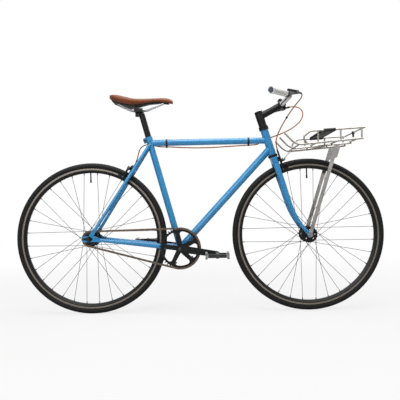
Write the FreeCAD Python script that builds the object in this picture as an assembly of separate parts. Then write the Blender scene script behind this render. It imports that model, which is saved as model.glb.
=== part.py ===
"""Fixed gear bike with a front rack: one solid or group of solids per piece, in millimetres.

X runs forward, Y to the rider's left and Z up. The origin is on the floor midway between the axles.
"""
import FreeCAD, Part
import math
import os

V = FreeCAD.Vector
Y = V(0, 1, 0)
Z = V(0, 0, 1)

# Overall layout
tyre_radius = 339.0
wheel_gap = 294.0
bracket_drop = 50.0
head_angle = 73.0
seat_angle = 74.9
fork_rake = 40.0
overrun = 4.0
running_fit = 0.05
bolt_fit = 0.05
weld_gap = 0.3

# Chain, chainring and cog
chain_pitch = 12.7
ring_teeth = 44
cog_teeth = 16
ring_wrap_pins = 24
cog_wrap_pins = 8
run_room = 60.0
chain_line = 45.0
roller_radius = 3.85
roller_seat_clearance = 0.12
seat_arc_angle = 62.0
tooth_rise = 4.2
tooth_tip_width = 2.2
sprocket_thickness = 2.8
inner_gap = 3.3
link_plate_thickness = 1.1
inner_plate_radius = 4.2
outer_plate_radius = 3.9
pin_radius = 1.8
pin_head = 0.7
ring_inner_radius = 76.0
bolt_circle_radius = 65.0
ring_tab_radius = 9.5
ring_tab_fillet = 11.0
ring_bolt_radius = 5.0
ring_bolt_head_radius = 6.4
ring_bolt_head = 1.6

# Frame tubes
head_tube_over_tyre = 47.6
head_length = 118.2
head_outer_radius = 18.0
head_wall = 1.3
top_tube_drop = 47.05
top_tube_radius = 14.3
down_tube_radius = 15.9
down_tube_head_rise = 32.0
tube_wall = 1.1
seat_tube_rise = 26.1
seat_tube_radius = 14.3
post_radius = 13.6
collar_radius = 17.2
collar_height = 22.0
collar_ear_reach = 25.0
collar_ear_width = 16.0
collar_slot = 2.4
slot_length = 42.0
binder_radius = 3.0
binder_head_radius = 5.0
binder_head_height = 5.0
shell_radius = 20.0
shell_half_length = 34.0
shell_bore_radius = 17.2
cup_inset = 14.0
cup_flange = 3.0
cup_flange_radius = 20.5
spindle_radius = 8.5

# Rear triangle
stay_front_lateral = 21.0
stay_front_half_width = 8.0
stay_front_half_height = 13.0
stay_rear_radius = 7.0
stay_wall = 1.0
chain_stay_start = 12.0
chain_stay_end = 50.0
seat_stay_radius = 8.0
seat_stay_top_lateral = 16.5
seat_stay_top_back = 5.0
seat_stay_top_drop = 11.0
seat_stay_end = 44.0
rear_spacing = 120.0
track_end_thickness = 6.0
track_end_half_height = 13.0
track_end_arm_half_width = 9.0
track_slot_back = 20.0
track_slot_front = 16.0
bridge_over_tyre = 20.0
bridge_radius = 7.0
rear_axle_radius = 5.0
axle_fit = 0.2
cone_radius = 8.0
cone_gap = 0.3
washer_radius = 12.0
washer_thickness = 2.0
nut_across_flats = 15.0
nut_height = 9.0
axle_stub = 5.0
axle_stub_step = 0.25

# Headset and fork
cup_height = 11.0
cup_radius = 21.5
cup_wall = 3.0
cover_height = 5.0
spacer_radius = 18.0
spacer_height = 26.0
steerer_radius = 14.3
steerer_wall = 2.0
crown_gap = 0.4
crown_height = 29.0
crown_half_span = 27.0
blade_top_lateral = 31.0
blade_half_depth = 14.0
blade_half_width = 9.5
blade_tip_radius = 6.5
blade_straight_share = 0.52
blade_tip_gap = 26.0
front_spacing = 100.0
fork_tip_thickness = 6.0
fork_tip_radius = 12.0
fork_tip_arm_half_width = 8.0
front_axle_radius = 4.5
brake_bolt_over_tyre = 14.5
brake_bolt_radius = 3.0

# Stem, bar, grips and levers
stem_clamp_height = 40.0
stem_clamp_radius = 18.5
cap_height = 5.0
cap_radius = 17.5
cap_bolt_radius = 4.0
bar_forward = 98.3
bar_rise = 52.5
stem_body_radius = 15.0
bar_clamp_radius = 12.7
bar_clamp_wall = 5.0
bar_clamp_half_width = 22.0
faceplate_gap = 1.6
face_bolt_radius = 2.5
face_bolt_head_radius = 4.2
face_bolt_head = 4.0
face_bolt_lateral = 14.0
face_bolt_length = 26.0
bar_radius = 11.1
bar_bulge_half_width = 40.0
bar_straight_half = 46.0
bar_bend_lateral = 145.0
bar_bend_forward = 22.0
bar_bend_rise = 18.0
bar_end_rise = 10.0
bar_end_lateral = 297.0
bar_end_back = 80.0
bar_bend_radius = 70.0
grip_length = 126.0
grip_radius = 15.2
grip_waist_radius = 14.2
plug_radius = 9.4
plug_head_radius = 11.1
plug_head = 3.0
plug_depth = 18.0
lever_clamp_from_end = 145.5
lever_clamp_half_width = 6.0
lever_clamp_wall = 4.5
lever_arm_length = 46.0
lever_arm_half_width = 7.0
lever_pivot_radius = 2.5
lever_blade_length = 84.0
lever_blade_half_width = 5.5
lever_blade_half_height = 4.0
lever_blade_gap = 0.5
lever_fork_wall = 2.5
barrel_length = 20.0
barrel_radius = 4.5

# Brake calipers, in the plane of the arms
bridge_plate_thickness = 4.0
arm_thickness = 8.0
layer_gap = 0.5
arm_half_width = 6.0
leg_half_width = 5.0
side_pivot_lateral = 20.0
side_pivot_height = 9.0
cable_lateral = 36.0
barrel_height = 13.0
anchor_height = -4.0
leg_bow_lateral = 27.0
leg_bow_low = 26.0
shoe_gap = 2.6
shoe_thickness = 7.0
shoe_half_length = 25.0
shoe_half_height = 5.0
caliper_barrel_radius = 4.0
caliper_barrel_rise = 22.0
wire_bore_radius = 1.6
mount_nut_radius = 6.0
mount_nut_height = 5.0

# Wheels
rim_half_width = 12.0
rim_edge_drop = 22.5
rim_depth = 22.0
rim_nose_half_width = 6.0
rim_track_height = 12.5
rim_well_depth = 8.0
rim_wall = 1.6
bead_clearance = 0.2
tyre_wall = 2.6
bead_height = 7.4
spoke_count = 32
spoke_radius = 1.0
nipple_radius = 2.0
nipple_length = 13.0
nipple_hole_clearance = 0.7
spoke_lateral_at_rim = 2.5
spoke_cross_angle = 67.5
flange_radius = 36.0
flange_thickness = 3.0
spoke_circle_radius = 31.5
spoke_hole_clearance = 0.3
spoke_head_radius = 1.9
spoke_head = 0.8
flange_window_radius = 4.0
flange_window_circle_radius = 22.5
front_flange_lateral = 34.0
rear_flange_lateral = 31.0
front_hub_half_length = 41.0
rear_hub_half_length = 50.0
hub_barrel_radius = 15.0
bearing_radius = 13.0
bearing_width = 9.0
hub_bore_radius = 9.0
cog_seat_radius = 17.0
cog_shoulder_radius = 20.0
lockring_seat_radius = 14.5
lockring_radius = 20.0
lockring_thickness = 4.0
valve_radius = 3.0
valve_length = 44.0
valve_cap_radius = 3.8
valve_cap_length = 14.0

# Cranks and pedals
crank_length = 165.0
crank_dip_angle = 9.4
crank_inner_face = 55.0
crank_thickness = 12.0
crank_boss_radius = 16.0
crank_end_radius = 13.0
spider_thickness = 5.0
spider_root_radius = 12.0
spider_tip_radius = 9.0
spider_first_angle = 36.0
crank_bolt_radius = 8.5
crank_bolt_head = 3.0
pedal_axle_radius = 5.0
pedal_collar_radius = 8.0
pedal_gap = 3.0
pedal_width = 92.0
pedal_barrel_radius = 10.0
pedal_half_length = 51.0
pedal_arm_width = 9.0
pedal_arm_half_height = 7.0
cage_half_height = 13.0
cage_thickness = 2.0
cage_lip = 9.0

# Seatpost and saddle
post_insertion = 120.0
post_rise = 103.9
rail_rise = 18.0
rail_radius = 3.5
rail_spread = 22.0
rail_front_run = 34.0
rail_back_run = 36.0
rail_nose_offset = V(112.0, 9.0, 28.0)
rail_tail_offset = V(-90.0, 34.0, 27.0)
rail_bend_radius = 26.0
clamp_setback = 12.3
clamp_half_length = 19.0
clamp_half_width = 28.0
cradle_thickness = 9.0
clamp_plate_thickness = 5.5
clamp_grip_gap = 1.0
clamp_bolt_radius = 3.5
clamp_bolt_head_radius = 6.0
clamp_bolt_head = 4.0
post_head_radius = 17.0
saddle_base_drop = 6.0
saddle_base_inset = 5.0
# Each saddle station: how far ahead of the clamp, half width, and crown, side and lower edge above the rails
saddle_offsets = [
    (-126.0, 38.0, 65.0, 59.0, 51.0),
    (-114.0, 56.0, 67.0, 56.0, 42.0),
    (-83.0, 69.0, 64.0, 50.0, 30.0),
    (-43.0, 64.0, 57.0, 41.0, 21.0),
    (0.0, 42.0, 53.0, 39.0, 23.0),
    (47.0, 25.0, 53.0, 43.0, 32.0),
    (97.0, 20.0, 54.0, 45.0, 35.0),
    (136.0, 17.0, 50.0, 40.0, 30.0),
    (154.0, 9.0, 40.0, 34.0, 26.0),
]
saddle_top_share = 0.62
saddle_lower_share = 0.86

# Front rack: places ahead of the front axle and above the tyre
rack_tube_radius = 4.0
rack_half_width = 162.0
rack_side_offsets = [(-117.0, 97.0), (-70.0, 46.0), (212.0, 68.0)]
rack_cross_radius = 3.4
rack_post_radius = 3.5
rack_middle_drop = 6.0
rack_bend_radius = 62.0
rack_cross_offsets = [-58.0, 14.0, 104.0, 186.0]
rack_loop_offsets = [(-24.0, 49.6), (-41.0, 79.0), (-8.0, 103.0), (221.0, 114.0)]
rack_loop_radius = 14.0
rack_upright_offsets = [23.0, 118.0, 206.0]
strut_thickness = 4.0
strut_half_width = 8.0
strut_top_offset = (122.0, 44.0)
strut_eye_radius = 11.0
strut_head_half_width = 17.0
strut_head_length = 42.0
tang_half_width = 8.0
tang_thickness = 3.0
tang_eye_radius = 9.0
strap_offset = 47.0
strap_width = 50.0
strap_thickness = 2.4
strap_clearance = 0.3

# Cables: points from the bar's centre, then from the front band, the seat stays' top and the top tube
cable_radius = 2.5
front_cable_offsets = [
    V(85.7, -132.0, 17.4), V(39.7, -86.0, -30.8), V(1.7, -58.0, -83.8),
    V(-26.3, -42.0, -136.8), V(-35.8, -36.0, -179.8),
]
rear_loop_offsets = [
    V(85.7, 132.0, 17.4), V(118.7, 118.0, -12.8), V(106.7, 105.0, -56.8), V(59.7, 82.0, -95.8),
    V(4.7, 52.0, -123.8), V(-44.3, 30.0, -140.8), V(-88.3, 24.0, -159.8), V(-112.3, 11.0, -175.8),
]
loop_straight = 14.0
run_front_offsets = [(-88.0, -1.2), (-193.0, -2.7)]
run_back_offsets = [(146.6, -1.2), (92.6, 0.0), (58.6, 0.0)]
run_stay_offsets = [V(30.6, 15.0, -4.0), V(-5.4, 34.0, 5.0), V(-39.4, 38.0, -8.0), V(-51.4, 36.0, -50.2)]
front_band_offset = 86.5
rear_band_offset = 76.6
band_half_width = 4.0
band_thickness = 1.4
band_eye_wall = 2.1


def rod(a, b, radius):
    """A round bar from point a to point b."""
    return Part.makeCylinder(radius, (b - a).Length, a, b - a)


def tube(a, b, outer, inner):
    """A round tube from a to b, open at both ends."""
    along = (b - a).normalize() * overrun
    return rod(a, b, outer).cut(rod(a - along, b + along, inner))


def fuse(shapes):
    """One solid of several that meet."""
    first, *rest = shapes
    return first.multiFuse(rest).removeSplitter() if rest else first


def weld(shapes):
    """One solid of several bent tubes, with every face kept as it was made."""
    first, *rest = shapes
    return first.multiFuse(rest)


def across(x, z, from_y, to_y, radius):
    """A round bar along Y at the place (x, z)."""
    return rod(V(x, min(from_y, to_y), z), V(x, max(from_y, to_y), z), radius)


def turned(profile, x, z):
    """A ring about the Y axis at (x, z), turned from a closed list of (radius, y) points."""
    points = [V(x + radius, y, z) for radius, y in profile]
    wire = Part.makePolygon(points + points[:1])
    return Part.Face(wire).revolve(V(x, 0, z), Y, 360)


def mirrored(shape):
    """The same shape on the other side of the bike."""
    return shape.mirror(V(), Y)


def both(shape):
    """A shape and its mirror on the other side."""
    return [shape, mirrored(shape)]


def capsule(a, b, half_width, low, high):
    """A plate with round ends in the local plane, from depth low to depth high; a and b are (x, y)."""
    start, end = V(*a, low), V(*b, low)
    depth = V(0, 0, high - low)
    ends = [Part.makeCylinder(half_width, high - low, p) for p in (start, end)]
    aside = (end - start).cross(Z).normalize() * half_width
    corners = [start + aside, end + aside, end - aside, start - aside, start + aside]
    return fuse([Part.Face(Part.makePolygon(corners)).extrude(depth)] + ends)


def ribbon(points, half_widths, low, high):
    """A bent plate: capsules joined end to end through (x, y) points."""
    pairs = zip(points, points[1:], half_widths)
    return fuse([capsule(a, b, width, low, high) for a, b, width in pairs])


def set_in(shape, origin, x_axis, y_axis):
    """A copy of a local shape with its axes laid along the given directions."""
    z_axis = x_axis.cross(y_axis)
    matrix = FreeCAD.Matrix(
        x_axis.x, y_axis.x, z_axis.x, origin.x,
        x_axis.y, y_axis.y, z_axis.y, origin.y,
        x_axis.z, y_axis.z, z_axis.z, origin.z,
    )
    placed = shape.copy()
    placed.Placement = FreeCAD.Placement(matrix).multiply(shape.Placement)
    return placed


def bent_path(points, radius):
    """Straight runs through the points, joined by tangent arcs no larger than the runs allow."""
    edges, radii = [], []
    start = points[0]
    for before, corner, after in zip(points, points[1:], points[2:]):
        back, ahead = before - corner, after - corner
        half_turn = (math.pi - back.getAngle(ahead)) / 2
        room = 0.45 * min(back.Length, ahead.Length)
        bend = room / math.tan(half_turn) if radius is None else min(radius, room / math.tan(half_turn))
        reach = bend * math.tan(half_turn)
        enter = corner + back.normalize() * reach
        leave = corner + ahead.normalize() * reach
        middle = corner + (back + ahead).normalize() * (bend / math.cos(half_turn) - bend)
        edges.append(Part.makeLine(start, enter))
        edges.append(Part.Arc(enter, middle, leave).toShape())
        radii.append(bend)
        start = leave
    edges.append(Part.makeLine(start, points[-1]))
    return Part.Wire(edges), radii


def swept(points, section_radius, bend_radius=None, bore=0.0):
    """A round bar or tube along a bent path."""
    path, radii = bent_path(points, bend_radius)
    direction = points[1] - points[0]

    def pipe(size):
        section = Part.Wire(Part.makeCircle(size, points[0], direction))
        return path.makePipeShell([section], True, False)

    bar = pipe(section_radius)
    return (bar.cut(pipe(bore)) if bore else bar), path, radii


def cable(name, points):
    """A cable along its route; its least bend and its volume are printed beside section times length."""
    solid, path, radii = swept(points, cable_radius)
    section = math.pi * cable_radius ** 2
    print(f"{name}: least bend {min(radii):.1f}, volume {solid.Volume:.0f} of {section * path.Length:.0f}")
    return solid


def hexagon(centre, across_flats, from_y, to_y):
    """A hexagonal nut along Y."""
    corner_radius = across_flats / math.sqrt(3)
    angles = [math.radians(60 * k) for k in range(7)]
    ring = [centre + V(corner_radius * math.cos(t), from_y, corner_radius * math.sin(t)) for t in angles]
    return Part.Face(Part.makePolygon(ring)).extrude(V(0, to_y - from_y, 0))


# Places worked out from the layout
def pitch_radius(teeth):
    """The radius of the circle that the chain's pins lie on."""
    return chain_pitch / (2 * math.sin(math.pi / teeth))


def chain_distance():
    """The distance between the sprockets that a whole number of links closes round."""
    ring_angle = (ring_wrap_pins - 1) * math.pi / ring_teeth
    cog_angle = (cog_wrap_pins - 1) * math.pi / cog_teeth
    ring_radius, cog_radius = pitch_radius(ring_teeth), pitch_radius(cog_teeth)
    rise = ring_radius * math.sin(ring_angle) - cog_radius * math.sin(cog_angle)
    run = math.sqrt((run_links * chain_pitch) ** 2 - rise ** 2)
    return run - ring_radius * math.cos(ring_angle) - cog_radius * math.cos(cog_angle)


def direction(angle):
    """A unit vector in the bike's plane, turned from forward towards up by an angle in degrees."""
    return V(math.cos(math.radians(angle)), 0, math.sin(math.radians(angle)))


wheelbase = 2 * tyre_radius + wheel_gap
rim_edge_radius = tyre_radius - rim_edge_drop
rim_inner_radius = rim_edge_radius - rim_depth
rim_shoulder_radius = rim_edge_radius - rim_track_height
rim_well_radius = rim_edge_radius - rim_well_depth
head_low = tyre_radius + head_tube_over_tyre
brake_bolt_height = tyre_radius + brake_bolt_over_tyre
bridge_distance = tyre_radius + bridge_over_tyre
rear_axle_place = V(-wheelbase / 2, 0, tyre_radius)
front_axle_place = V(wheelbase / 2, 0, tyre_radius)
run_links = math.ceil((tyre_radius + run_room) / chain_pitch)
stay_length = chain_distance()
bracket = rear_axle_place + V(math.sqrt(stay_length ** 2 - bracket_drop ** 2), 0, -bracket_drop)
seat_up = direction(180 - seat_angle)
head_up = direction(180 - head_angle)
head_forward = direction(90 - head_angle)
steer_foot = front_axle_place - head_forward * fork_rake
head_bottom = steer_foot + head_up * head_low
head_top = head_bottom + head_up * head_length
top_tube_height = head_top.z - top_tube_drop
seat_stay_top_height = top_tube_height - seat_stay_top_drop
seat_top = bracket + seat_up * ((top_tube_height + seat_tube_rise - bracket.z) / seat_up.z)
seat_clamp_low = seat_top - seat_up * collar_height
stay_rear_lateral = rear_spacing / 2 + track_end_thickness / 2
rear_hub_face = rear_spacing / 2
front_hub_face = front_spacing / 2


def on_axis(start, up, height):
    """The point of a leaning line at a given height."""
    return start + up * ((height - start.z) / up.z)


top_tube_back = on_axis(bracket, seat_up, top_tube_height)
top_tube_front = on_axis(steer_foot, head_up, top_tube_height)
down_tube_top = head_bottom + head_up * down_tube_head_rise
stay_cluster = on_axis(bracket, seat_up, seat_stay_top_height) - V(seat_stay_top_back, 0, 0)
post_top = on_axis(bracket, seat_up, seat_top.z + post_rise)
stay_up = (stay_cluster - rear_axle_place).normalize()
stay_back = V(-stay_up.z, 0, stay_up.x)
bridge_place = rear_axle_place + stay_up * bridge_distance
stay_forward = (bracket - rear_axle_place).normalize()


def seat_stay_lateral(distance):
    """How far a seat stay's centre line is from the bike's plane, at a distance from the rear axle."""
    span = (stay_cluster - rear_axle_place).Length - seat_stay_end
    share = (distance - seat_stay_end) / span
    return stay_rear_lateral + share * (seat_stay_top_lateral - stay_rear_lateral)


# Frame
def head_tube():
    return tube(head_bottom, head_top, head_outer_radius, head_outer_radius - head_wall)


def seat_tube():
    """The seat tube with its split collar, whose ears the binder bolt draws together."""
    outer = fuse([
        rod(bracket, seat_top, seat_tube_radius),
        rod(seat_clamp_low, seat_top, collar_radius),
        collar_ears(),
    ])
    bore = rod(bracket, seat_top + seat_up * overrun, post_radius + running_fit)
    slot_foot = seat_top - seat_up * slot_length
    slot = Part.makeBox(collar_ear_reach + overrun, collar_slot, slot_length + overrun)
    slot = set_in(slot, slot_foot + Y * (collar_slot / 2), seat_across(), -Y)
    solid = outer.cut(bore).cut(slot).cut(binder_bolt_hole()).cut(seat_binder_bolt())
    return solid.cut(across(bracket.x, bracket.z, -shell_half_length, shell_half_length, shell_radius))


def seat_across():
    """Straight back from the seat tube, square to it."""
    return V(-seat_up.z, 0, seat_up.x)


def collar_ears():
    ears = Part.makeBox(collar_ear_reach, collar_ear_width, collar_height)
    return set_in(ears, seat_clamp_low + Y * (collar_ear_width / 2), seat_across(), -Y)


def binder_place():
    """The middle of the binder bolt, between the collar and the tips of its ears."""
    reach = collar_ear_reach - binder_head_radius
    return seat_clamp_low + seat_up * (collar_height / 2) + seat_across() * reach


def binder_bolt_hole():
    place = binder_place()
    return across(place.x, place.z, -collar_ear_width, collar_ear_width, binder_radius + bolt_fit)


def seat_binder_bolt():
    place = binder_place()
    face = collar_ear_width / 2
    shank = across(place.x, place.z, -face, face + binder_head_height, binder_radius)
    head = across(place.x, place.z, -face - binder_head_height, -face, binder_head_radius)
    nut = across(place.x, place.z, face, face + binder_head_height, binder_head_radius)
    return fuse([shank, head, nut])


def top_tube():
    solid = tube(top_tube_back, top_tube_front, top_tube_radius, top_tube_radius - tube_wall)
    solid = solid.cut(rod(bracket, seat_top, seat_tube_radius))
    solid = solid.cut(rod(seat_clamp_low, seat_top, collar_radius))
    return solid.cut(rod(head_bottom, head_top, head_outer_radius))


def down_tube():
    solid = tube(bracket, down_tube_top, down_tube_radius, down_tube_radius - tube_wall)
    solid = solid.cut(rod(head_bottom - head_up * overrun, head_top, head_outer_radius))
    solid = solid.cut(rod(bracket, seat_top, seat_tube_radius))
    return solid.cut(across(bracket.x, bracket.z, -shell_half_length, shell_half_length, shell_radius))


def bracket_shell():
    profile = [(shell_bore_radius, -shell_half_length), (shell_radius, -shell_half_length),
               (shell_radius, shell_half_length), (shell_bore_radius, shell_half_length)]
    return turned(profile, bracket.x, bracket.z)


def bracket_cup(side):
    """A cup with its bearing, screwed into one end of the shell; side is -1 for right."""
    face = side * shell_half_length
    bore = spindle_radius + running_fit
    profile = [(bore, face - side * cup_inset), (shell_bore_radius, face - side * cup_inset),
               (shell_bore_radius, face), (cup_flange_radius, face),
               (cup_flange_radius, face + side * cup_flange), (bore, face + side * cup_flange)]
    return turned(profile, bracket.x, bracket.z)


def oval(centre, normal, half_side, half_up):
    """An oval outline: half_side along Y and half_up across it."""
    upward = normal.cross(Y).normalize()
    if half_side >= half_up:
        curve = Part.Ellipse(centre + Y * half_side, centre + upward * half_up, centre)
    else:
        curve = Part.Ellipse(centre + upward * half_up, centre + Y * half_side, centre)
    return Part.Wire(curve.toShape())


def chain_stay():
    """The left chain stay: oval at the bracket shell, round and narrow at the track end."""
    front = bracket - stay_forward * chain_stay_start + Y * stay_front_lateral
    rear = rear_axle_place + stay_forward * chain_stay_end + Y * stay_rear_lateral
    run = (rear - front).normalize()

    def body(wall):
        wide = oval(front, run, stay_front_half_width - wall, stay_front_half_height - wall)
        slim = oval(rear, run, stay_rear_radius - wall, stay_rear_radius - wall - running_fit)
        return Part.makeLoft([wide, slim], True, True)

    shell = across(bracket.x, bracket.z, -shell_half_length, shell_half_length, shell_radius)
    return body(0).cut(body(stay_wall)).cut(shell).cut(track_end())


def seat_stay():
    """The left seat stay, from beside the seat tube to the track end."""
    top = stay_cluster + Y * seat_stay_top_lateral
    foot = rear_axle_place + stay_up * seat_stay_end + Y * stay_rear_lateral
    run = (top - foot).normalize()
    length = (top - foot).Length
    outer = Part.makeCone(stay_rear_radius, seat_stay_radius, length, foot, run)
    inner = Part.makeCone(stay_rear_radius - stay_wall, seat_stay_radius - stay_wall,
                          length - seat_stay_radius, foot, run)
    cap = Part.makeSphere(seat_stay_radius, top)
    solid = fuse([outer, cap]).cut(inner)
    return solid.cut(rod(bracket, seat_top, seat_tube_radius)).cut(track_end())


def stay_bridge():
    """The tube between the seat stays that carries the rear brake."""
    reach = seat_stay_lateral(bridge_distance)
    bar = across(bridge_place.x, bridge_place.z, -reach, reach, bridge_radius)
    hole = rod(bridge_place - stay_back * shell_radius, bridge_place + stay_back * shell_radius,
               brake_bolt_radius + bolt_fit)
    for stay in both(seat_stay()):
        bar = bar.cut(stay)
    solids = bar.cut(hole).Solids
    return max(solids, key=lambda solid: solid.Volume)


def track_end():
    """The left track end: a plate with a slot that opens to the rear."""
    arms = [
        capsule((-track_slot_back, 0), (chain_stay_end / 2, 0), track_end_half_height, 0,
                track_end_thickness),
        capsule((0, 0), (stay_up.x * seat_stay_end, stay_up.z * seat_stay_end), track_end_arm_half_width, 0,
                track_end_thickness),
        capsule((0, 0), (stay_forward.x * chain_stay_end, stay_forward.z * chain_stay_end),
                track_end_arm_half_width, 0, track_end_thickness),
    ]
    slot = capsule((-track_slot_back - rear_spacing, 0), (track_slot_front - rear_axle_radius, 0),
                   rear_axle_radius + axle_fit, -overrun, track_end_thickness + overrun)
    plate = fuse(arms).cut(slot)
    return set_in(plate, rear_axle_place + Y * (rear_spacing / 2 + track_end_thickness), V(1, 0, 0), Z)


def cable_band(place):
    """A black band round the top tube that holds the rear cable under it."""
    low, high = place - band_half_width, place + band_half_width
    ends = [V(low, 0, top_tube_height), V(high, 0, top_tube_height)]
    band = tube(*ends, top_tube_radius + band_thickness, top_tube_radius)
    drop = V(0, 0, top_tube_height - top_tube_cable_height)
    eye = rod(ends[0] - drop, ends[1] - drop, cable_radius + band_eye_wall + weld_gap)
    bore = rod(ends[0] - drop - V(overrun, 0, 0), ends[1] - drop + V(overrun, 0, 0), cable_radius + weld_gap)
    inside = rod(ends[0], ends[1], top_tube_radius)
    return fuse([band, eye]).cut(bore).cut(inside)


# Headset, fork, stem and bar
def steer_point(height, forward=0.0, lateral=0.0):
    """A point by its height along the steering axis, its reach ahead of it and its place across."""
    return steer_foot + head_up * height + head_forward * forward + Y * lateral


head_high = head_low + head_length
crown_top = head_low - cup_height - crown_gap
crown_low = crown_top - crown_height
cover_low = head_high + cup_height
stem_low = cover_low + cover_height + spacer_height
stem_high = stem_low + stem_clamp_height
bar_centre = steer_point((stem_low + stem_high) / 2) + V(bar_forward, 0, bar_rise)
stem_along = V(bar_forward, 0, bar_rise).normalize()


def headset_cup(low, high):
    """A pressed cup and the bearing that sits in it."""
    ends = [steer_point(low), steer_point(high)]
    seat = cup_radius - cup_wall
    cup = tube(*ends, cup_radius, seat)
    bearing = tube(*ends, seat, steerer_radius + running_fit)
    return [cup, bearing]


def headset_cups():
    return headset_cup(head_low - cup_height, head_low) + headset_cup(head_high, cover_low)


def headset_spacers():
    """The top cover, the spacers, and the cap with its bolt above the stem."""
    cover = tube(steer_point(cover_low + crown_gap), steer_point(cover_low + cover_height), cup_radius,
                 steerer_radius)
    spacer = tube(steer_point(cover_low + cover_height), steer_point(stem_low), spacer_radius, steerer_radius)
    cap = rod(steer_point(stem_high), steer_point(stem_high + cap_height), cap_radius)
    cap_top = stem_high + cap_height
    bolt = rod(steer_point(cap_top), steer_point(cap_top + weld_gap), cap_bolt_radius)
    return [cover, spacer, fuse([cap, bolt])]


def fork_steerer():
    """The steerer with the crown, flat in front for the brake."""
    crown = capsule((-crown_half_span, 0), (crown_half_span, 0), blade_half_depth, 0, crown_height)
    crown = set_in(crown, steer_point(crown_low), -Y, head_forward)
    steerer = rod(steer_point(crown_top), steer_point(stem_high), steerer_radius)
    bore = rod(steer_point(crown_top), steer_point(stem_high + overrun), steerer_radius - steerer_wall)
    reach = steerer_radius + blade_half_depth
    hole = rod(steer_point(brake_bolt_height, -reach), steer_point(brake_bolt_height, reach),
               brake_bolt_radius + bolt_fit)
    return fuse([crown, steerer]).cut(bore).cut(hole)


def blade_point(share):
    """A point on the left blade's centre line, its direction and its share of the taper."""
    straight = crown_low * blade_straight_share
    drop = crown_low - straight
    arc_radius = (drop ** 2 + fork_rake ** 2) / (2 * fork_rake)
    arc_turn = math.asin(drop / arc_radius) - blade_tip_gap / arc_radius
    length = straight + arc_turn * arc_radius
    along = share * length
    turn = max(along - straight, 0) / arc_radius
    height = crown_low - min(along, straight) - arc_radius * math.sin(turn)
    forward = arc_radius * (1 - math.cos(turn))
    tip_lateral = front_spacing / 2 + fork_tip_thickness / 2
    lateral = blade_top_lateral + share * (tip_lateral - blade_top_lateral)
    run = head_forward * math.sin(turn) - head_up * math.cos(turn)
    return steer_point(height, forward, lateral), run


blade_shares = [0, 0.28, 0.52, 0.66, 0.8, 0.9, 1]


def fork_blade():
    """The left blade: oval at the crown, curved forward and tapered to the tip."""
    sections = []
    for share in blade_shares:
        centre, run = blade_point(share)
        side = blade_half_width + share * (blade_tip_radius - blade_half_width)
        depth = blade_half_depth + share * (blade_tip_radius + running_fit - blade_half_depth)
        sections.append(oval(centre, run, side, depth))
    return Part.makeLoft(sections, True, False).cut(fork_tip())


def fork_tip():
    """The left tip plate, with its slot open downward."""
    end = blade_point(1)[0] - front_axle_place
    back = (end.x, end.z)
    plate = fuse([
        capsule((0, 0), back, fork_tip_arm_half_width, 0, fork_tip_thickness),
        Part.makeCylinder(fork_tip_radius, fork_tip_thickness),
    ])
    slot = capsule((0, 0), (0, -front_spacing), front_axle_radius + axle_fit, -overrun,
                   fork_tip_thickness + overrun)
    face = front_axle_place + Y * (front_spacing / 2 + fork_tip_thickness)
    return set_in(plate.cut(slot), face, V(1, 0, 0), Z)


def in_stem(shape, forward=0.0):
    """A local shape laid at the bar clamp: x along the stem, y to the left and z above."""
    return set_in(shape, bar_centre + stem_along * forward, stem_along, Y)


def stem_block(low, high):
    """The part of the bar clamp between two depths along the stem, bored for the bar."""
    outer = bar_clamp_radius + bar_clamp_wall
    half = bar_clamp_half_width
    barrel = Part.makeCylinder(outer, 2 * half, V(0, -half, 0), Y)
    ear_height = outer + 2 * face_bolt_head_radius
    ears = Part.makeBox(2 * face_bolt_head_radius + faceplate_gap, 2 * half, 2 * ear_height,
                        V(-face_bolt_head_radius - faceplate_gap / 2, -half, -ear_height))
    tall = 2 * (outer + ear_height)
    keep = Part.makeBox(high - low, 4 * half, 2 * tall, V(low, -2 * half, -tall))
    return fuse([barrel, ears]).common(keep)


def face_bolts(radius, start, length):
    """Rods at the four faceplate bolts."""
    height = bar_clamp_radius + bar_clamp_wall + face_bolt_head_radius / 2
    places = [V(start, side * face_bolt_lateral, above * height) for side in (-1, 1) for above in (-1, 1)]
    return [Part.makeCylinder(radius, length, place, V(1, 0, 0)) for place in places]


bar_bore_half = 2 * bar_clamp_half_width


def bar_bore():
    return Part.makeCylinder(bar_clamp_radius, 2 * bar_bore_half, V(0, -bar_bore_half, 0), Y)


def clamp_cuts():
    """Room for the bar and the four bolts."""
    return [bar_bore()] + face_bolts(face_bolt_radius + bolt_fit, -face_bolt_length / 2, face_bolt_length)


def stem():
    outer = bar_clamp_radius + bar_clamp_wall
    clamp = rod(steer_point(stem_low), steer_point(stem_high), stem_clamp_radius)
    reach = (bar_centre - steer_point((stem_low + stem_high) / 2)).Length
    body = in_stem(Part.makeCylinder(stem_body_radius, reach, V(-reach, 0, 0), V(1, 0, 0)))
    back = in_stem(stem_block(-outer - overrun, -faceplate_gap / 2))
    solid = fuse([clamp, body, back])
    for cut in clamp_cuts():
        solid = solid.cut(in_stem(cut))
    front = Part.makeBox(outer + overrun, 2 * outer, 2 * outer, V(-faceplate_gap / 2, -outer, -outer))
    solid = solid.cut(in_stem(front))
    return solid.cut(rod(steer_point(stem_low - overrun), steer_point(stem_high + overrun), steerer_radius))


def faceplate_front():
    """How far the ears of the faceplate stand ahead of the bar's centre."""
    return face_bolt_head_radius + faceplate_gap / 2


def stem_faceplate():
    outer = bar_clamp_radius + bar_clamp_wall
    solid = in_stem(stem_block(faceplate_gap / 2, outer + overrun))
    for cut in clamp_cuts():
        solid = solid.cut(in_stem(cut))
    return solid.cut(stem_bolts())


def stem_bolts():
    shanks = face_bolts(face_bolt_radius, -faceplate_front(), 2 * faceplate_front())
    heads = face_bolts(face_bolt_head_radius, faceplate_front(), face_bolt_head)
    return [in_stem(fuse([shank, head])) for shank, head in zip(shanks, heads)]


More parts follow.
